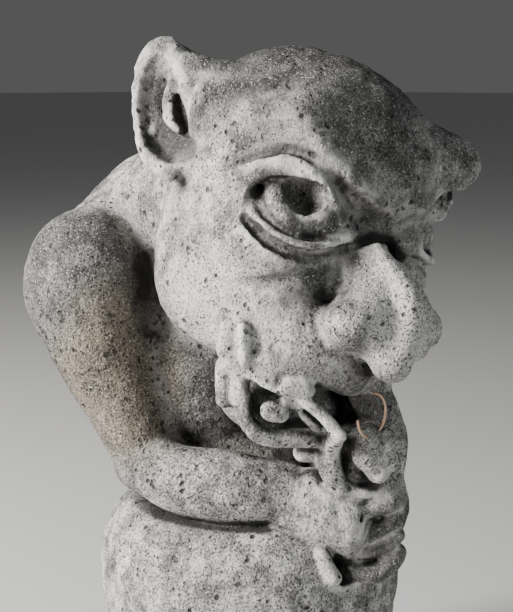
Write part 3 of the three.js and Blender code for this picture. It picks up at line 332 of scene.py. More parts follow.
# ears, each a cupped shell with a rim and an inner lobe
EARS = pair({
    "cone": limb([[-32, 4, 46], [-46, 14, 45], [-55, 19, 45]], [20, 15, 12], 8),
    "upper_shell": ball([-59, 34, 52], [12, 13, 20.5], 6, [0, 0, 22]),
    "lower_shell": ball([-57, 30, 31], [12, 12, 17], 6, [0, 0, 22]),
    "flap_top": limb([[-46, 16, 58], [-62, 26, 62]], [7, 3.5], 5),
    "flap_middle": limb([[-46, 8, 46], [-60, 19, 49]], [9, 3.5], 5),
    "flap_foot": limb([[-46, 6, 40], [-56, 13, 38]], [8, 3.4], 4),
    "mouth_flat": hollow(block([-80, 33, 44], [14, 24, 33], 1, 2, [0, 0, 22])),
    "upper_cup": hollow(ball([-66.5, 36.5, 46], [5, 6.5, 20], 3, [0, 0, 22])),
    "lower_cup": hollow(limb([[-62, 34, 27.5], [-59.5, 27, 26], [-57.5, 21.5, 27.5]], [4.5, 5.5, 4.5], 4)),
    "slot": hollow(limb([[-62.6, 35.4, 54.5], [-62.3, 34.4, 49], [-62.3, 34.4, 42.6], [-61.9, 33.5, 37.2],
        [-60.3, 29.6, 33.2], [-58.9, 25.9, 30.8]], [3, 4, 4.2, 4.2, 4, 3.4], 2)),
    "recess": hollow(limb([[-60, 25.5, 48.5], [-59.5, 24, 41.4], [-58.5, 21, 35.7]], [2.4, 3, 3], 1.5)),
    "wall_top": limb([[-58, 27, 64], [-46, 12, 58]], [3, 8], 6),
    "wall_middle": limb([[-58, 20, 52], [-46, 7, 47]], [3.4, 9], 6),
    "wall_foot": limb([[-56, 13, 38], [-46, 4, 41]], [3.4, 8], 6),
    "rim": limb([[-63.2, 32.4, 71.1], [-65.4, 37.9, 69.7], [-67, 41.9, 65.1], [-67.9, 44.2, 58.4],
        [-68.1, 44.8, 50.2], [-67.5, 43.3, 38.3], [-66.9, 41.8, 31.9], [-65.8, 38.9, 25],
        [-64, 34.5, 19.4], [-62, 29.5, 16.1], [-60.4, 25.5, 13.8]],
        [3.6, 3.8, 3.2, 2.6, 2.4, 2.4, 2.4, 2.4, 2.6, 2.8, 2.6], 3),
    "front_edge": limb([[-64, 28.2, 67.9], [-62.7, 25, 61.7], [-61.3, 21.6, 54.9], [-60, 18.2, 47.6],
        [-58.6, 14.6, 40.4], [-57.2, 11.2, 34.3], [-56.6, 9.8, 32]], [2.6, 2.2, 2, 2, 2, 2.2, 2.2], 4),
    "inner_lobe": limb([[-61, 30.5, 53], [-61.2, 30.6, 47.2], [-61, 30.2, 42.4], [-60.3, 28.2, 37.9],
        [-58.8, 24.8, 34.9]], [2.4, 3, 3.2, 2.8, 2], 1),
})
WORLD_GROUPS = [TORSO, ARMS, LEFT_HAND, RIGHT_HAND]
HEAD_GROUPS = [HEAD, CHEEKS, BROWS, LEFT_KNOB, FOREHEAD_FLAT, EYES, NOSE, NOSTRILS, MOUTH, CHIN, MOUTHFUL, EARS]
LAST_GROUPS = [FRONT_LUMPS, SMALL_ANIMAL]

CELL_EDGES = [(a, a | (1 << axis)) for axis in range(3) for a in range(8) if not a & (1 << axis)]


def turn_matrix(degrees):
    x, y, z = np.radians(degrees)
    about_x = np.array([[1, 0, 0], [0, math.cos(x), -math.sin(x)], [0, math.sin(x), math.cos(x)]])
    about_y = np.array([[math.cos(y), 0, math.sin(y)], [0, 1, 0], [-math.sin(y), 0, math.cos(y)]])
    about_z = np.array([[math.cos(z), -math.sin(z), 0], [math.sin(z), math.cos(z), 0], [0, 0, 1]])
    return about_z @ about_y @ about_x


# a smooth run through the points, with the radii eased from one to the next
def smooth_run(points, radii, steps):
    points = np.array(points, float)
    before = 2 * points[0] - points[1]
    after = 2 * points[-1] - points[-2]
    held = np.vstack([before, points, after])
    run = []
    sizes = []
    for i in range(len(points) - 1):
        a, b, c, d = held[i:i + 4]
        for j in range(steps):
            t = j / steps
            run.append(0.5 * (2 * b + (c - a) * t + (2 * a - 5 * b + 4 * c - d) * t * t
                              + (3 * b - a - 3 * c + d) * t ** 3))
            sizes.append(radii[i] + (radii[i + 1] - radii[i]) * t)
    return np.array(run + [points[-1]]), sizes + [radii[-1]]


class Clay:
    """A block of space that holds, at each grid point, the distance in millimetres to the figure's skin."""

    def __init__(self, low, high, step):
        self.low = np.array(low, float)
        self.step = step
        self.count = np.ceil((np.array(high, float) - self.low) / step).astype(int) + 1
        self.values = np.full(self.count, EMPTY, np.float32)
        self.axes = np.eye(3)
        self.centre = np.zeros(3)

    def place(self, axes, centre):
        self.axes = axes
        self.centre = np.array(centre, float)

    def part(self, low, high):
        first = np.clip(np.floor((low - self.low) / self.step).astype(int), 0, self.count)
        last = np.clip(np.ceil((high - self.low) / self.step).astype(int) + 1, 0, self.count)
        where = tuple(slice(a, b) for a, b in zip(first, last))
        lines = [self.low[i] + self.step * np.arange(first[i], last[i]) for i in range(3)]
        return where, np.meshgrid(*lines, indexing="ij", sparse=True)

    def blend(self, where, distance, softness, cut):
        old = -self.values[where] if cut else self.values[where]
        near = np.maximum(softness - np.abs(old - distance), 0) / softness
        mixed = np.minimum(old, distance) - near * near * softness / 4
        self.values[where] = -mixed if cut else mixed

    def add(self, form):
        for side in form.get("sides", (1,)):
            shift = np.array(form["left_shift"] if side < 0 else (0, 0, 0), float)
            if form["kind"] == "limb":
                self.add_limb(form, side, shift)
            else:
                self.add_solid(form, side, shift)

    def add_solid(self, form, side, shift):
        mirror = np.diag([side, 1, 1])
        axes = self.axes @ mirror @ turn_matrix(form["turn"])
        centre = self.axes @ (mirror @ np.array(form["centre"], float) + shift) + self.centre
        halves = np.array(form["radii"] if form["kind"] == "ball" else form["halves"], float)
        reach = np.abs(axes) @ halves + form["softness"] + 2 * self.step
        where, grid = self.part(centre - reach, centre + reach)
        local = [sum((grid[i] - centre[i]) * axes[i, j] for i in range(3)) for j in range(3)]
        if form["kind"] == "ball":
            once = np.sqrt(sum((local[j] / halves[j]) ** 2 for j in range(3)))
            twice = np.sqrt(sum((local[j] / halves[j] ** 2) ** 2 for j in range(3)))
            distance = once * (once - 1) / np.maximum(twice, TINY)
        else:
            past = [np.abs(local[j]) - (halves[j] - form["rounding"]) for j in range(3)]
            outside = np.sqrt(sum(np.maximum(q, 0) ** 2 for q in past))
            distance = outside + np.minimum(np.maximum(np.maximum(past[0], past[1]), past[2]), 0) - form["rounding"]
        self.blend(where, distance, form["softness"], form.get("cut", False))

    def add_limb(self, form, side, shift):
        longest = np.linalg.norm(np.diff(np.array(form["points"], float), axis=0), axis=1).max()
        steps = int(min(LIMB_MOST_STEPS, max(2, round(longest / max(2, min(form["radii"]) * LIMB_SPACING)))))
        run, sizes = smooth_run(form["points"], form["radii"], steps)
        run = (run * [side, 1, 1] + shift) @ self.axes.T + self.centre
        reach = max(sizes) + form["softness"] + 2 * self.step
        where, grid = self.part(run.min(0) - reach, run.max(0) + reach)
        nearest = EMPTY
        for start, end, from_size, to_size in zip(run, run[1:], sizes, sizes[1:]):
            along = end - start
            length = max(along @ along, TINY)
            t = np.clip(sum((grid[i] - start[i]) * along[i] for i in range(3)) / length, 0, 1)
            gap = np.sqrt(sum((grid[i] - start[i] - t * along[i]) ** 2 for i in range(3)))
            nearest = np.minimum(nearest, gap - from_size - t * (to_size - from_size))
        self.blend(where, nearest, form["softness"], form.get("cut", False))

    def add_drum(self, outline, softness):
        reach = np.array([outline[0][0] + 8, outline[0][0] + 8, 0])
        where, grid = self.part(-reach + [0, 0, -8], reach + [0, 0, outline[-1][1] + 8])
        run, _ = smooth_run([(radius, height, 0) for radius, height in outline[2:]], [0] * (len(outline) - 2), 6)
        run = np.vstack([[(radius, height, 0) for radius, height in outline[:2]], run])
        radius = np.sqrt(grid[0] ** 2 + grid[1] ** 2)
        side = (radius - np.interp(grid[2], run[:, 1], run[:, 0])) * 0.95
        distance = np.maximum(np.maximum(side, grid[2] - outline[-1][1]), -grid[2])
        self.blend(where, distance, softness, False)

    # the distance at any points, from the eight grid points round each
    def sample(self, points):
        spot = np.clip((points - self.low) / self.step, 0, self.count - 1.001)
        first = spot.astype(int)
        share = spot - first
        total = np.zeros(len(points))
        for corner in itertools.product((0, 1), repeat=3):
            weight = np.prod(np.where(corner, share, 1 - share), axis=1)
            i, j, k = (first + corner).T
            total += weight * self.values[i, j, k]
        return total


# whether the filled corners of a cell make one lump, and its empty corners another, with no crossed face
def is_plain(code):
    filled = [(code >> corner) & 1 for corner in range(8)]
    for wanted in (0, 1):
        members = [corner for corner in range(8) if filled[corner] == wanted]
        if not members:
            continue
        reached = {members[0]}
        grown = True
        while grown:
            grown = False
            for a, b in CELL_EDGES:
                if filled[a] == filled[b] == wanted and (a in reached) != (b in reached):
                    reached |= {a, b}
                    grown = True
        if len(reached) < len(members):
            return False
    for axis in range(3):
        u, v = [1 << other for other in range(3) if other != axis]
        for base in (0, 1 << axis):
            if filled[base] == filled[base | u | v] != filled[base | u] == filled[base | v]:
                return False
    return True


def corner_view(values, corner):
    return values[tuple(slice((corner >> axis) & 1, values.shape[axis] - 1 + ((corner >> axis) & 1))
                        for axis in range(3))]


# fills the empty corners where the skin would touch itself, so that each edge has two faces
def fill_pinches(clay):
    plain = np.array([is_plain(code) for code in range(256)])
    for _ in range(40):
        code = sum((corner_view(clay.values, c) < 0).astype(np.int16) << c for c in range(8))
        spots = np.argwhere(~plain[code])
        if not len(spots):
            return
        for i, j, k in spots:
            corners = [(i + (c & 1), j + ((c >> 1) & 1), k + ((c >> 2) & 1)) for c in range(8)]
            empty = [corner for corner in corners if clay.values[corner] >= 0]
            if empty:
                least = min(empty, key=lambda corner: clay.values[corner])
                clay.values[least] = PINCH_FILL * clay.step
    raise RuntimeError("the figure's skin still touches itself")


# the closed skin: one point in each crossed cell, and a face round each crossed grid edge
def clay_skin(clay):
    values = clay.values
    inside = values < 0
    code = sum((corner_view(inside, c)).astype(np.int16) << c for c in range(8))
    crossed = (code > 0) & (code < 255)
    number = np.full(code.shape, -1, np.int64)
    number[crossed] = np.arange(np.count_nonzero(crossed))
    cells = np.argwhere(crossed)
    corners = np.stack([corner_view(values, c)[crossed] for c in range(8)])
    total = np.zeros((len(cells), 3))
    crossings = np.zeros(len(cells))
    for a, b in CELL_EDGES:
        change = (corners[a] < 0) != (corners[b] < 0)
        t = np.where(change, corners[a] / np.where(change, corners[a] - corners[b], 1), 0)
        start = np.array([(a >> axis) & 1 for axis in range(3)], float)
        way = np.array([(b >> axis) & 1 for axis in range(3)], float) - start
        total += np.where(change[:, None], start + t[:, None] * way, 0)
        crossings += change
    points = clay.low + clay.step * (cells + total / crossings[:, None])
    faces = []
    for axis in range(3):
        u, v = (axis + 1) % 3, (axis + 2) % 3
        here = [slice(1, size - 1) for size in values.shape]
        here[axis] = slice(0, values.shape[axis] - 1)
        there = list(here)
        there[axis] = slice(1, values.shape[axis])
        starts, ends = inside[tuple(here)], inside[tuple(there)]
        spots = np.argwhere(starts != ends)
        outward = starts[tuple(spots.T)]
        spots[:, u] += 1
        spots[:, v] += 1
        ring = []
        for step_u, step_v in ((-1, -1), (0, -1), (0, 0), (-1, 0)):
            cell = spots.copy()
            cell[:, u] += step_u
            cell[:, v] += step_v
            ring.append(number[tuple(cell.T)])
        ring = np.stack(ring, 1)
        ring[~outward] = ring[~outward, ::-1]
        faces.append(ring)
    return points, np.vstack(faces)


def model_figure(step):
    clay = Clay(CLAY_LOW, CLAY_HIGH, step)
    for group in WORLD_GROUPS:
        for form in group.values():
            clay.add(form)
    clay.add_drum(PLINTH_OUTLINE, 3)
    tip = turn_matrix((0, HEAD_TIP_DEGREES, 0))
    clay.place(tip, HEAD_CENTRE)
    for group in HEAD_GROUPS:
        for form in group.values():
            clay.add(form)
    clay.place(np.eye(3), (0, 0, 0))
    for group in LAST_GROUPS:
        for form in group.values():
            clay.add(form)
    return clay


# a number from 0 to 1 for each whole-numbered cell, the same each run
def cell_number(cells, seed):
    mixed = (cells[..., 0] * 73856093) ^ (cells[..., 1] * 19349663) ^ (cells[..., 2] * 83492791) ^ (seed * 2654435761)
    mixed = (mixed ^ (mixed >> 13)) * 1274126177 & 0xFFFFFFFF
    mixed = (mixed ^ (mixed >> 16)) * 2246822519 & 0xFFFFFFFF
    return ((mixed ^ (mixed >> 15)) & 0xFFFFFF) / 0xFFFFFF


# smooth lumps of the given size, from about -1 to 1
def lumps(points, size, seed):
    spot = points / size
    cell = np.floor(spot).astype(np.int64)
    share = spot - cell
    share = share * share * (3 - 2 * share)
    total = np.zeros(len(points))
    for corner in itertools.product((0, 1), repeat=3):
        weight = np.prod(np.where(corner, share, 1 - share), axis=1)
        total += weight * cell_number(cell + corner, seed)
    return total * 2 - 1


# how deep in a scattered round pit each point lies, from 0 outside to 1 in the middle
def pits(points, size, seed, share_of_cells):
    spot = points / size
    cell = np.floor(spot).astype(np.int64)
    depth = np.zeros(len(points))
    for shift in itertools.product((-1, 0, 1), repeat=3):
        near = cell + shift
        middle = near + np.stack([cell_number(near, seed + axis) for axis in range(3)], -1)
        radius = 0.18 + 0.3 * cell_number(near, seed + 3)
        chosen = cell_number(near, seed + 4) < share_of_cells
        gap = np.linalg.norm(spot - middle, axis=1) / radius
        depth = np.maximum(depth, np.where(chosen, np.clip(1 - gap * gap, 0, 1), 0))
    return depth


def point_normals(points, faces):
    ends = points[faces]
    face_normals = np.cross(ends[:, 2] - ends[:, 0], ends[:, 3] - ends[:, 1])
    normals = np.zeros_like(points)
    for corner in range(4):
        np.add.at(normals, faces[:, corner], face_normals)
    return normals / np.maximum(np.linalg.norm(normals, axis=1, keepdims=True), TINY)


# each point moves towards the middle of its neighbours, then part of the way back
def relax(points, faces, rounds):
    links = np.vstack([faces[:, [0, 1]], faces[:, [1, 2]], faces[:, [2, 3]], faces[:, [3, 0]]])
    count = np.bincount(links[:, 0], minlength=len(points))[:, None]
    for _ in range(rounds):
        for share in (0.5, -0.52):
            middle = np.zeros_like(points)
            for axis in range(3):
                middle[:, axis] = np.bincount(links[:, 0], points[links[:, 1], axis], len(points))
            points = points + share * (middle / count - points)
    return points


def new_object(name, mesh):
    thing = bpy.data.objects.new(name, mesh)
    bpy.context.scene.collection.objects.link(thing)
    return thing


# worn relief in millimetres along the normal: hand marks, weathering, chips and open pits
def relief(points, hollow_share, edge_share, depth):
    drift = points + 2.5 * np.stack([lumps(points, 9, seed) for seed in (11, 12, 13)], 1)
    broad = lumps(drift, 26, 21) * 0.55
    middle = lumps(drift, 9, 22) * 0.38
    fine = lumps(drift, 4, 23) * 0.22 + lumps(points, 2.4, 24) * 0.12
    chips = np.clip(lumps(drift, 6, 25) - 0.25, 0, 1) * edge_share * 1.5
    rough_place = np.clip(0.5 + lumps(points, 30, 26), 0.15, 1)
    holes = pits(points, 7, 31, 0.22) * 0.9 + pits(points, 4, 41, 0.3) * 0.5
    return depth * (broad + middle + fine * (0.6 + rough_place) - chips - holes * rough_place * (1 - 0.4 * hollow_share))


# upright brush marks on the plinth's side
def brush_marks(points, depth):
    around = np.arctan2(points[:, 0], points[:, 1]) * 72
    rows = np.stack([around, np.zeros(len(points)), points[:, 2] * 0.06], 1)
    low = np.clip((118 - points[:, 2]) / 12, 0, 1)
    outer = np.clip((np.hypot(points[:, 0], points[:, 1]) - 58) / 6, 0, 1)
    return depth * low * outer * (lumps(rows, 3.2, 51) * 0.3 + lumps(rows, 7, 52) * 0.3)


def add_point_values(mesh, name, values):
    attribute = mesh.attributes.new(name, "FLOAT", "POINT")
    attribute.data.foreach_set("value", np.asarray(values, np.float32))


# soft patches, each given by its centre and reach in millimetres and its strength
def patch_share(points, patches):
    total = np.zeros(len(points))
    for centre, reach, strength in patches:
        gap = np.linalg.norm((points - centre) / reach, axis=1)
        total += strength * np.clip(1.6 * (1 - gap * gap), 0, 1)
    return np.clip(total, 0, 1)


def cast_mesh(settings):
    clay = model_figure(settings.grid_step / MM)
    fill_pinches(clay)
    points, faces = clay_skin(clay)
    points = relax(points, faces, 1)
    normals = point_normals(points, faces)
    # how enclosed each point is, like ambient occlusion; it makes pits shallower in hollows, and the plaster uses it
    # as painted shade
    near = clay.sample(points + normals * 3) / 3
    far = clay.sample(points + normals * 9) / 9
    behind = -clay.sample(points - normals * 4) / 4
    hollow_share = np.clip(1.15 - 0.5 * near - 0.6 * far, 0, 1)
    edge_share = np.clip(1 - behind, 0, 1) * 2
    edge_share = np.clip(edge_share, 0, 1)
    depth = relief(points, hollow_share, edge_share, settings.relief_depth / MM)
    points = points + normals * (depth + brush_marks(points, settings.relief_depth / MM))[:, None]
    points[:, 2] = np.where(points[:, 2] < FOOT_BAND, np.maximum(points[:, 2], 0), points[:, 2])
    mesh = bpy.data.meshes.new("gargoyle_cast")
    mesh.vertices.add(len(points))
    mesh.vertices.foreach_set("co", (points * MM).ravel())
    mesh.loops.add(faces.size)
    mesh.loops.foreach_set("vertex_index", faces.ravel())
    mesh.polygons.add(len(faces))
    mesh.polygons.foreach_set("loop_start", np.arange(0, faces.size, 4))
    mesh.polygons.foreach_set("loop_total", np.full(len(faces), 4))
    mesh.update()
    mesh.validate()
    # the hollow values carry painted shade for the hollows
    add_point_values(mesh, "hollow", hollow_share)
    add_point_values(mesh, "edge", edge_share)
    add_point_values(mesh, "stain", patch_share(points, STAINS))
    # the greyer patches are partly weathering and partly painted shade
    add_point_values(mesh, "weather_and_shade", patch_share(points, WEATHERED_AND_SHADED))
    # the paler patches are painted light
    add_point_values(mesh, "clean", patch_share(points, PAINTED_LIGHT_PATCHES))
    return mesh


# puts a value into a node's input, or links it there
def feed(tree, socket, value):
    if isinstance(value, bpy.types.NodeSocket):
        tree.links.new(value, socket)
    else:
        socket.default_value = value


def node(tree, kind, inputs=None, **settings):
    made = tree.nodes.new(kind)
    for name, value in settings.items():
        setattr(made, name, value)
    for name, value in (inputs or {}).items():
        feed(tree, made.inputs[name], value)
    return made


def ramp(tree, value, low, high, start=0.0, end=1.0):
    return node(tree, "ShaderNodeMapRange", {"Value": value, "From Min": low, "From Max": high,
                                             "To Min": start, "To Max": end}).outputs["Result"]


def calculate(tree, operation, first, second):
    made = node(tree, "ShaderNodeMath", operation=operation)
    feed(tree, made.inputs[0], first)
    feed(tree, made.inputs[1], second)
    return made.outputs[0]


COLOUR_A, COLOUR_B, COLOUR_OUT = 6, 7, 2


def mix(tree, share, first, second, blend="MIX"):
    made = node(tree, "ShaderNodeMix", data_type="RGBA", blend_type=blend)
    feed(tree, made.inputs[0], share)
    feed(tree, made.inputs[COLOUR_A], first)
    feed(tree, made.inputs[COLOUR_B], second)
    return made.outputs[COLOUR_OUT]


def noise(tree, place, scale, detail=4.0, roughness=0.6):
    return node(tree, "ShaderNodeTexNoise", {"Vector": place, "Scale": scale, "Detail": detail,
                                             "Roughness": roughness}).outputs["Fac"]


# round specks: 1 in the middle of a speck, 0 outside, on a chosen share of the cells
def specks(tree, place, scale, share, radius):
    cells = node(tree, "ShaderNodeTexVoronoi", {"Vector": place, "Scale": scale, "Randomness": 1.0})
    size = ramp(tree, node(tree, "ShaderNodeSeparateColor", {"Color": cells.outputs["Color"]}).outputs["Red"],
                1.0 - share, 1.0, 0.0, radius)
    inside = calculate(tree, "SUBTRACT", size, cells.outputs["Distance"])
    return ramp(tree, inside, 0.0, radius * 0.4)


def point_values(tree, name):
    return node(tree, "ShaderNodeAttribute", attribute_name=name).outputs["Fac"]


def new_material(name):
    material = bpy.data.materials.new(name)
    material.use_nodes = True
    tree = material.node_tree
    return material, tree, tree.nodes["Principled BSDF"]


def plaster_material(settings):
    material, tree, surface = new_material("weathered_plaster")
    place = node(tree, "ShaderNodeTexCoord").outputs["Object"]
    warp = node(tree, "ShaderNodeTexNoise", {"Vector": place, "Scale": 120.0, "Detail": 3.0}).outputs["Color"]
    wavy = mix(tree, 0.004, place, warp, "ADD")
    broad = noise(tree, place, 24.0, 3.0, 0.55)
    patches = noise(tree, wavy, 85.0, 5.0, 0.62)
    mottle = noise(tree, wavy, 240.0, 5.0, 0.7)
    grain = noise(tree, place, 1000.0, 2.0, 0.7)
    hollow_share = point_values(tree, "hollow")
    edge_share = point_values(tree, "edge")
    stain_share = point_values(tree, "stain")
    weather_and_shade_share = point_values(tree, "weather_and_shade")
    painted_light_share = point_values(tree, "clean")
    pale, shade = tuple(settings.plaster_colour), tuple(settings.shade_colour)
    grime_and_shade, tan = tuple(settings.grime_and_shade_colour), tuple(settings.stain_colour)
    rubbed = tuple(settings.edge_and_light_colour)
    # colour of the greyer patches, a darker copy of the shade colour: partly weathering and partly painted shade
    weathered = tuple(0.25 * value for value in settings.shade_colour[:3]) + (1.0,)
    body = mix(tree, ramp(tree, patches, 0.40, 0.60), shade, pale)
    body = mix(tree, ramp(tree, mottle, 0.44, 0.66, 0.0, 0.75), body, shade)
    body = mix(tree, ramp(tree, mottle, 0.30, 0.44, 0.6, 0.0), body, rubbed)
    body = mix(tree, ramp(tree, broad, 0.48, 0.72, 0.0, 0.5), body, shade)
    # painted shade, partly weathering: the greyer places are darkened
    grey_and_shade_share = calculate(tree, "MULTIPLY", weather_and_shade_share, ramp(tree, mottle, 0.36, 0.62, 1.0, 0.62))
    body = mix(tree, grey_and_shade_share, body, weathered)
    # painted light: the paler places on the nose, cheek and upper lip are lightened towards the rubbed colour
    body = mix(tree, calculate(tree, "MULTIPLY", painted_light_share, ramp(tree, patches, 0.35, 0.6, 0.9, 0.3)), body, rubbed)
    body = mix(tree, calculate(tree, "MULTIPLY", stain_share, ramp(tree, patches, 0.3, 0.6, 0.35, 1.0)), body, tan)
    body = mix(tree, ramp(tree, grain, 0.52, 0.62, 0.0, 0.92), body, grime_and_shade)
    body = mix(tree, ramp(tree, grain, 0.28, 0.40, 0.7, 0.0), body, rubbed)
    worn = calculate(tree, "MULTIPLY", edge_share, ramp(tree, patches, 0.38, 0.58, 0.15, 0.8))
    body = mix(tree, worn, body, rubbed)
    open_pits = specks(tree, wavy, 330.0, 0.5, 0.5)
    dots = specks(tree, wavy, 760.0, 0.5, 0.45)
    spotted = ramp(tree, noise(tree, place, 55.0, 3.0, 0.6), 0.40, 0.58, 0.2, 1.0)
    dark = calculate(tree, "MAXIMUM", open_pits, calculate(tree, "MULTIPLY", dots, 0.85))
    dark = calculate(tree, "MULTIPLY", dark, spotted)
    body = mix(tree, calculate(tree, "MULTIPLY", dark, 0.9), body, grime_and_shade)
    # painted shade: the hollows are darkened towards the grime colour, with random patches
    hollow_shade = calculate(tree, "ADD", hollow_share, ramp(tree, patches, 0.3, 0.7, -0.3, 0.3))
    body = mix(tree, ramp(tree, hollow_shade, 0.30, 0.82, 0.0, 0.97), body, grime_and_shade)
    tree.links.new(body, surface.inputs["Base Color"])
    surface.inputs["Roughness"].default_value = 0.93
    surface.inputs["Specular IOR Level"].default_value = 0.2
    height = calculate(tree, "ADD", calculate(tree, "MULTIPLY", grain, 0.3), calculate(tree, "MULTIPLY", mottle, 0.8))
    height = calculate(tree, "SUBTRACT", height, calculate(tree, "MULTIPLY", dark, 0.8))
    bump = node(tree, "ShaderNodeBump", {"Height": height, "Strength": 1.0, "Distance": settings.bump_depth})
    tree.links.new(bump.outputs["Normal"], surface.inputs["Normal"])
    return material


def copper_material(settings):
    material, tree, surface = new_material("copper_wire")
    place = node(tree, "ShaderNodeTexCoord").outputs["Object"]
    tarnish = noise(tree, place, 420.0, 4.0, 0.6)
    fine = noise(tree, place, 2400.0, 3.0, 0.6)
    colour = mix(tree, ramp(tree, tarnish, 0.42, 0.62), tuple(settings.copper_colour), tuple(settings.tarnish_colour))
    tree.links.new(colour, surface.inputs["Base Color"])
    tree.links.new(ramp(tree, tarnish, 0.35, 0.65, 0.3, 0.55), surface.inputs["Roughness"])
    surface.inputs["Metallic"].default_value = 0.9
    bump = node(tree, "ShaderNodeBump", {"Height": fine, "Strength": 0.4, "Distance": 0.0001})
    tree.links.new(bump.outputs["Normal"], surface.inputs["Normal"])
    return material


def floor_material(settings):
    material, tree, surface = new_material("studio_floor")
    place = node(tree, "ShaderNodeTexCoord").outputs["Object"]
    tone = ramp(tree, noise(tree, place, 2.0, 2.0, 0.5), 0.3, 0.7)
    pale = tuple(settings.floor_colour)
    tree.links.new(mix(tree, tone, pale, tuple(0.97 * value for value in pale[:3]) + (1.0,)), surface.inputs["Base Color"])
    surface.inputs["Roughness"].default_value = 0.9
    return material


class GargoyleCastSettings(PropertyGroup):
    grid_step: FloatProperty(name="Grid Step", description="Spacing of the modelling grid", default=0.0013,
                             min=0.001, max=0.004, unit="LENGTH", precision=4)
    most_triangles: IntProperty(name="Most Triangles", description="Triangles that the finished cast keeps",
                                default=190000, min=20000, max=198000)
    relief_depth: FloatProperty(name="Relief Depth", description="Depth of the worn, hand-made surface",
                                default=0.001, min=0.0, max=0.003, unit="LENGTH", precision=4)
    bump_depth: FloatProperty(name="Grain Depth", description="Depth of the grain and pinholes in the finish",
                              default=0.0018, min=0.0, max=0.003, unit="LENGTH", precision=4)
    plaster_colour: FloatVectorProperty(name="Plaster", description="Pale plaster of the cast", subtype="COLOR",
                                        size=4, min=0, max=1, default=(0.58, 0.575, 0.55, 1))
    # the greyer plaster of the random mottling; a darker copy of it paints shade, partly with weathering, on the
    # greyer places
    shade_colour: FloatVectorProperty(name="Weathered Plaster", description="Greyer, weathered plaster",
                                      subtype="COLOR", size=4, min=0, max=1, default=(0.15, 0.149, 0.14, 1))
    # the rubbed colour lightens worn edges and random grains, and paints light onto the nose, cheek and upper lip
    edge_and_light_colour: FloatVectorProperty(name="Rubbed Edges", description="Plaster rubbed clean on its edges",
                                     subtype="COLOR", size=4, min=0, max=1, default=(0.78, 0.77, 0.74, 1))
    # the grime colour darkens pits and specks, and also paints shade into the hollows
    grime_and_shade_colour: FloatVectorProperty(name="Grime", description="Dirt in the pits and hollows", subtype="COLOR",
                                      size=4, min=0, max=1, default=(0.03, 0.029, 0.027, 1))
    stain_colour: FloatVectorProperty(name="Stain", description="Tan stain on the arms and chest",
                                      subtype="COLOR", size=4, min=0, max=1, default=(0.23, 0.19, 0.145, 1))


class GargoyleRingSettings(PropertyGroup):
    ring_radius: FloatProperty(name="Ring Radius", description="From the ring's middle to the middle of its wire",
                               default=0.0096, min=0.004, max=0.02, unit="LENGTH", precision=4)
    wire_radius: FloatProperty(name="Wire Radius", description="Half the thickness of the wire",
                               default=0.00065, min=0.0003, max=0.002, unit="LENGTH", precision=5)
    bend_depth: FloatProperty(name="Bend", description="How far the wire strays from a true circle",
                              default=0.0002, min=0.0, max=0.001, unit="LENGTH", precision=5)
    kept_share: FloatProperty(name="Kept Share", description="Share of the circle that the open wire covers",
                              default=0.73, min=0.4, max=1.0)
    copper_colour: FloatVectorProperty(name="Copper", description="Bright copper of the wire", subtype="COLOR",
                                       size=4, min=0, max=1, default=(0.80, 0.50, 0.33, 1))
    tarnish_colour: FloatVectorProperty(name="Tarnish", description="Paler tarnish and plaster dust on the wire",
                                        subtype="COLOR", size=4, min=0, max=1, default=(0.62, 0.50, 0.40, 1))


class GargoyleStageSettings(PropertyGroup):
    key_power: FloatProperty(name="Key Light", description="Power of the large light at the figure's right",
                             default=66.0, min=0.0, max=200.0, unit="POWER")
    fill_power: FloatProperty(name="Fill Light", description="Power of the light beside the camera",
                              default=4.0, min=0.0, max=100.0, unit="POWER")
    floor_colour: FloatVectorProperty(name="Floor", description="Pale floor and backdrop", subtype="COLOR",
                                      size=4, min=0, max=1, default=(0.6, 0.6, 0.6, 1))


# the outline stays that of the copied mesh, with no more faces than the given number
def thinned(source, most_triangles, name):
    triangles = sum(len(face.vertices) - 2 for face in source.data.polygons)
    if triangles > most_triangles:
        thin = source.modifiers.new("thin", "DECIMATE")
        thin.ratio = most_triangles / triangles
        thin.use_collapse_triangulate = True
    view = bpy.context.evaluated_depsgraph_get()
    mesh = bpy.data.meshes.new_from_object(source.evaluated_get(view), preserve_all_data_layers=True, depsgraph=view)
    mesh.name = name
    bpy.data.objects.remove(source)
    return new_object(name, mesh)


class GARGOYLE_OT_cast(Operator):
    """Model the gargoyle and its plinth as one weathered plaster cast"""
    bl_idname = "gargoyle.cast"
    bl_label = "Plaster Cast"

    def execute(self, context):
        settings = context.scene.gargoyle_cast
        rough = new_object("cast_before_thinning", cast_mesh(settings))
        cast = thinned(rough, settings.most_triangles, "gargoyle_cast")
        cast.data.materials.append(plaster_material(settings))
        cast.data.shade_smooth()
        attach(cast, "root")
        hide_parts("gargoyle")
        return {"FINISHED"}


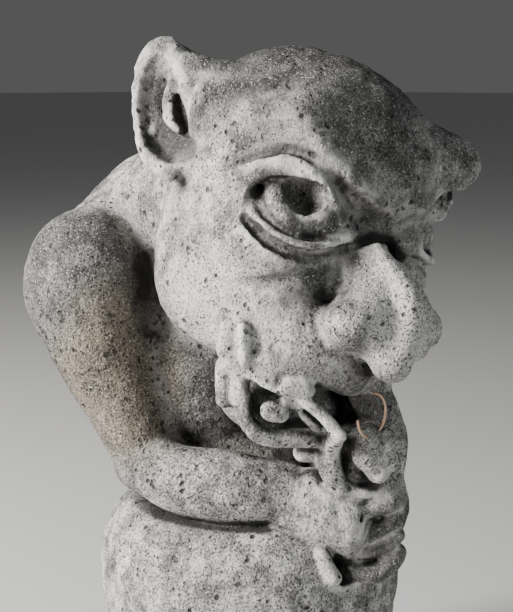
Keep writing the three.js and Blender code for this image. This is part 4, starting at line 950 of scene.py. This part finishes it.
# a circle of wire, a little out of true, swept with a round section
def ring_tree(material):
    tree = bpy.data.node_groups.new("bent_wire_ring", "GeometryNodeTree")
    for name, kind in (("Ring Radius", "NodeSocketFloat"), ("Wire Radius", "NodeSocketFloat"),
                       ("Bend", "NodeSocketFloat"), ("Kept Share", "NodeSocketFloat"), ("Place", "NodeSocketVector"), ("Turn", "NodeSocketVector")):
        tree.interface.new_socket(name, in_out="INPUT", socket_type=kind)
    tree.interface.new_socket("Geometry", in_out="OUTPUT", socket_type="NodeSocketGeometry")
    given = tree.nodes.new("NodeGroupInput").outputs
    circle = node(tree, "GeometryNodeCurvePrimitiveCircle", {"Resolution": 72, "Radius": given["Ring Radius"]})
    where = node(tree, "GeometryNodeInputPosition").outputs[0]
    stray = node(tree, "ShaderNodeTexNoise", {"Vector": where, "Scale": 110.0, "Detail": 1.0}).outputs["Color"]
    centred = node(tree, "ShaderNodeVectorMath", operation="SUBTRACT")
    feed(tree, centred.inputs[0], stray)
    centred.inputs[1].default_value = (0.5, 0.5, 0.5)
    shift = node(tree, "ShaderNodeVectorMath", {"Scale": given["Bend"]}, operation="SCALE")
    tree.links.new(centred.outputs[0], shift.inputs[0])
    bent = node(tree, "GeometryNodeSetPosition", {"Geometry": circle.outputs[0], "Offset": shift.outputs[0]})
    open_ring = node(tree, "GeometryNodeTrimCurve", {"Curve": bent.outputs[0]}, mode="FACTOR")
    factor_end = next(socket for socket in open_ring.inputs if socket.name == "End" and socket.enabled)
    tree.links.new(given["Kept Share"], factor_end)
    section = node(tree, "GeometryNodeCurvePrimitiveCircle", {"Resolution": 14, "Radius": given["Wire Radius"]})
    swept = node(tree, "GeometryNodeCurveToMesh", {"Curve": open_ring.outputs[0], "Profile Curve": section.outputs[0],
                                                   "Fill Caps": True})
    placed = node(tree, "GeometryNodeTransform", {"Geometry": swept.outputs[0], "Translation": given["Place"],
                                                  "Rotation": given["Turn"]})
    real = node(tree, "GeometryNodeRealizeInstances", {"Geometry": placed.outputs[0]})
    dressed = node(tree, "GeometryNodeSetMaterial", {"Geometry": real.outputs[0], "Material": material})
    result = tree.nodes.new("NodeGroupOutput")
    tree.links.new(dressed.outputs[0], result.inputs[0])
    return tree


class GARGOYLE_OT_wire_ring(Operator):
    """Bend the copper wire ring that hangs below the lip"""
    bl_idname = "gargoyle.wire_ring"
    bl_label = "Wire Ring"

    def execute(self, context):
        settings = context.scene.gargoyle_ring
        material = copper_material(settings)
        tree = ring_tree(material)
        rough = new_object("ring_before_sweeping", bpy.data.meshes.new("ring_before_sweeping"))
        sweep = rough.modifiers.new("sweep", "NODES")
        sweep.node_group = tree
        values = {"Ring Radius": settings.ring_radius, "Wire Radius": settings.wire_radius,
                  "Bend": settings.bend_depth, "Kept Share": settings.kept_share,
                  "Place": tuple(value * MM for value in RING_CENTRE),
                  "Turn": tuple(math.radians(turn) for turn in (90, -RING_START_DEGREES, RING_TURN_DEGREES))}
        for item in tree.interface.items_tree:
            if item.name in values:
                sweep[item.identifier] = values[item.name]
        view = context.evaluated_depsgraph_get()
        mesh = bpy.data.meshes.new_from_object(rough.evaluated_get(view), preserve_all_data_layers=True,
                                               depsgraph=view)
        bpy.data.objects.remove(rough)
        ring = new_object("bent_wire_ring", mesh)
        if not mesh.polygons:
            raise RuntimeError("the wire ring came out empty")
        mesh.shade_smooth()
        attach(ring, "root")
        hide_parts("wire_ring")
        return {"FINISHED"}


def aim(thing, place, target):
    thing.location = place
    thing.rotation_euler = (Vector(target) - Vector(place)).to_track_quat("-Z", "Y").to_euler()


def soft_light(name, place, target, size, power, colour):
    light = bpy.data.lights.new(name, "AREA")
    light.shape = "DISK"
    light.size = size
    light.energy = power
    light.color = colour
    thing = bpy.data.objects.new(name, light)
    bpy.context.scene.collection.objects.link(thing)
    aim(thing, place, target)


class GARGOYLE_OT_stage(Operator):
    """Lay the pale floor, light the studio and set the camera as in the photograph"""
    bl_idname = "gargoyle.stage"
    bl_label = "Studio"

    def execute(self, context):
        settings = context.scene.gargoyle_stage
        half = FLOOR_HALF
        mesh = bpy.data.meshes.new("studio_floor")
        mesh.from_pydata([(-half, -half, 0), (half, -half, 0), (half, half, 0), (-half, half, 0)], [], [(0, 1, 2, 3)])
        floor = new_object("studio_floor", mesh)
        mesh.materials.append(floor_material(settings))
        target = Vector(LOOK_AT) * MM
        soft_light("key_light", (-1.16, 0.5, 0.72), target, 0.5, settings.key_power, (1.0, 0.98, 0.95))
        soft_light("fill_light", (0.1, -1.3, 0.6), target, 0.9, settings.fill_power, (0.93, 0.96, 1.0))
        world = bpy.data.worlds.new("studio_air")
        world.use_nodes = True
        air = world.node_tree.nodes["Background"]
        air.inputs["Color"].default_value = tuple(settings.floor_colour)
        air.inputs["Strength"].default_value = AIR_STRENGTH
        context.scene.world = world
        azimuth, elevation = math.radians(CAMERA_AZIMUTH), math.radians(CAMERA_ELEVATION)
        back = Vector((math.sin(azimuth) * math.cos(elevation), -math.cos(azimuth) * math.cos(elevation),
                       math.sin(elevation)))
        lens = bpy.data.cameras.new("photograph_camera")
        lens.sensor_width = SENSOR
        lens.lens = CAMERA_LENS
        lens.clip_start = 0.01
        camera = bpy.data.objects.new("photograph_camera", lens)
        context.scene.collection.objects.link(camera)
        aim(camera, target + back * CAMERA_DISTANCE, target)
        context.scene.camera = camera
        return {"FINISHED"}


class GARGOYLE_PT_panel(Panel):
    """The gargoyle's pieces and their sizes and colours"""
    bl_idname = "GARGOYLE_PT_panel"
    bl_label = "Plaster Gargoyle"
    bl_space_type = "VIEW_3D"
    bl_region_type = "UI"
    bl_category = "Gargoyle"

    def draw(self, context):
        for group, operator in PIECES:
            box = self.layout.box()
            settings = getattr(context.scene, group)
            for name in settings.__annotations__:
                box.prop(settings, name)
            box.operator(operator)


PIECES = (("gargoyle_cast", "gargoyle.cast"), ("gargoyle_ring", "gargoyle.wire_ring"),
          ("gargoyle_stage", "gargoyle.stage"))
CLASSES = (GargoyleCastSettings, GargoyleRingSettings, GargoyleStageSettings, GARGOYLE_OT_cast,
           GARGOYLE_OT_wire_ring, GARGOYLE_OT_stage, GARGOYLE_PT_panel)


def register():
    for item in CLASSES:
        bpy.utils.register_class(item)
    bpy.types.Scene.gargoyle_cast = PointerProperty(type=GargoyleCastSettings)
    bpy.types.Scene.gargoyle_ring = PointerProperty(type=GargoyleRingSettings)
    bpy.types.Scene.gargoyle_stage = PointerProperty(type=GargoyleStageSettings)


def unregister():
    for name in ("gargoyle_cast", "gargoyle_ring", "gargoyle_stage"):
        delattr(bpy.types.Scene, name)
    for item in reversed(CLASSES):
        bpy.utils.unregister_class(item)


def main():
    register()
    bpy.ops.gargoyle.stage()
    bpy.ops.gargoyle.cast()
    bpy.ops.gargoyle.wire_ring()


if __name__ == "__main__":
    main()
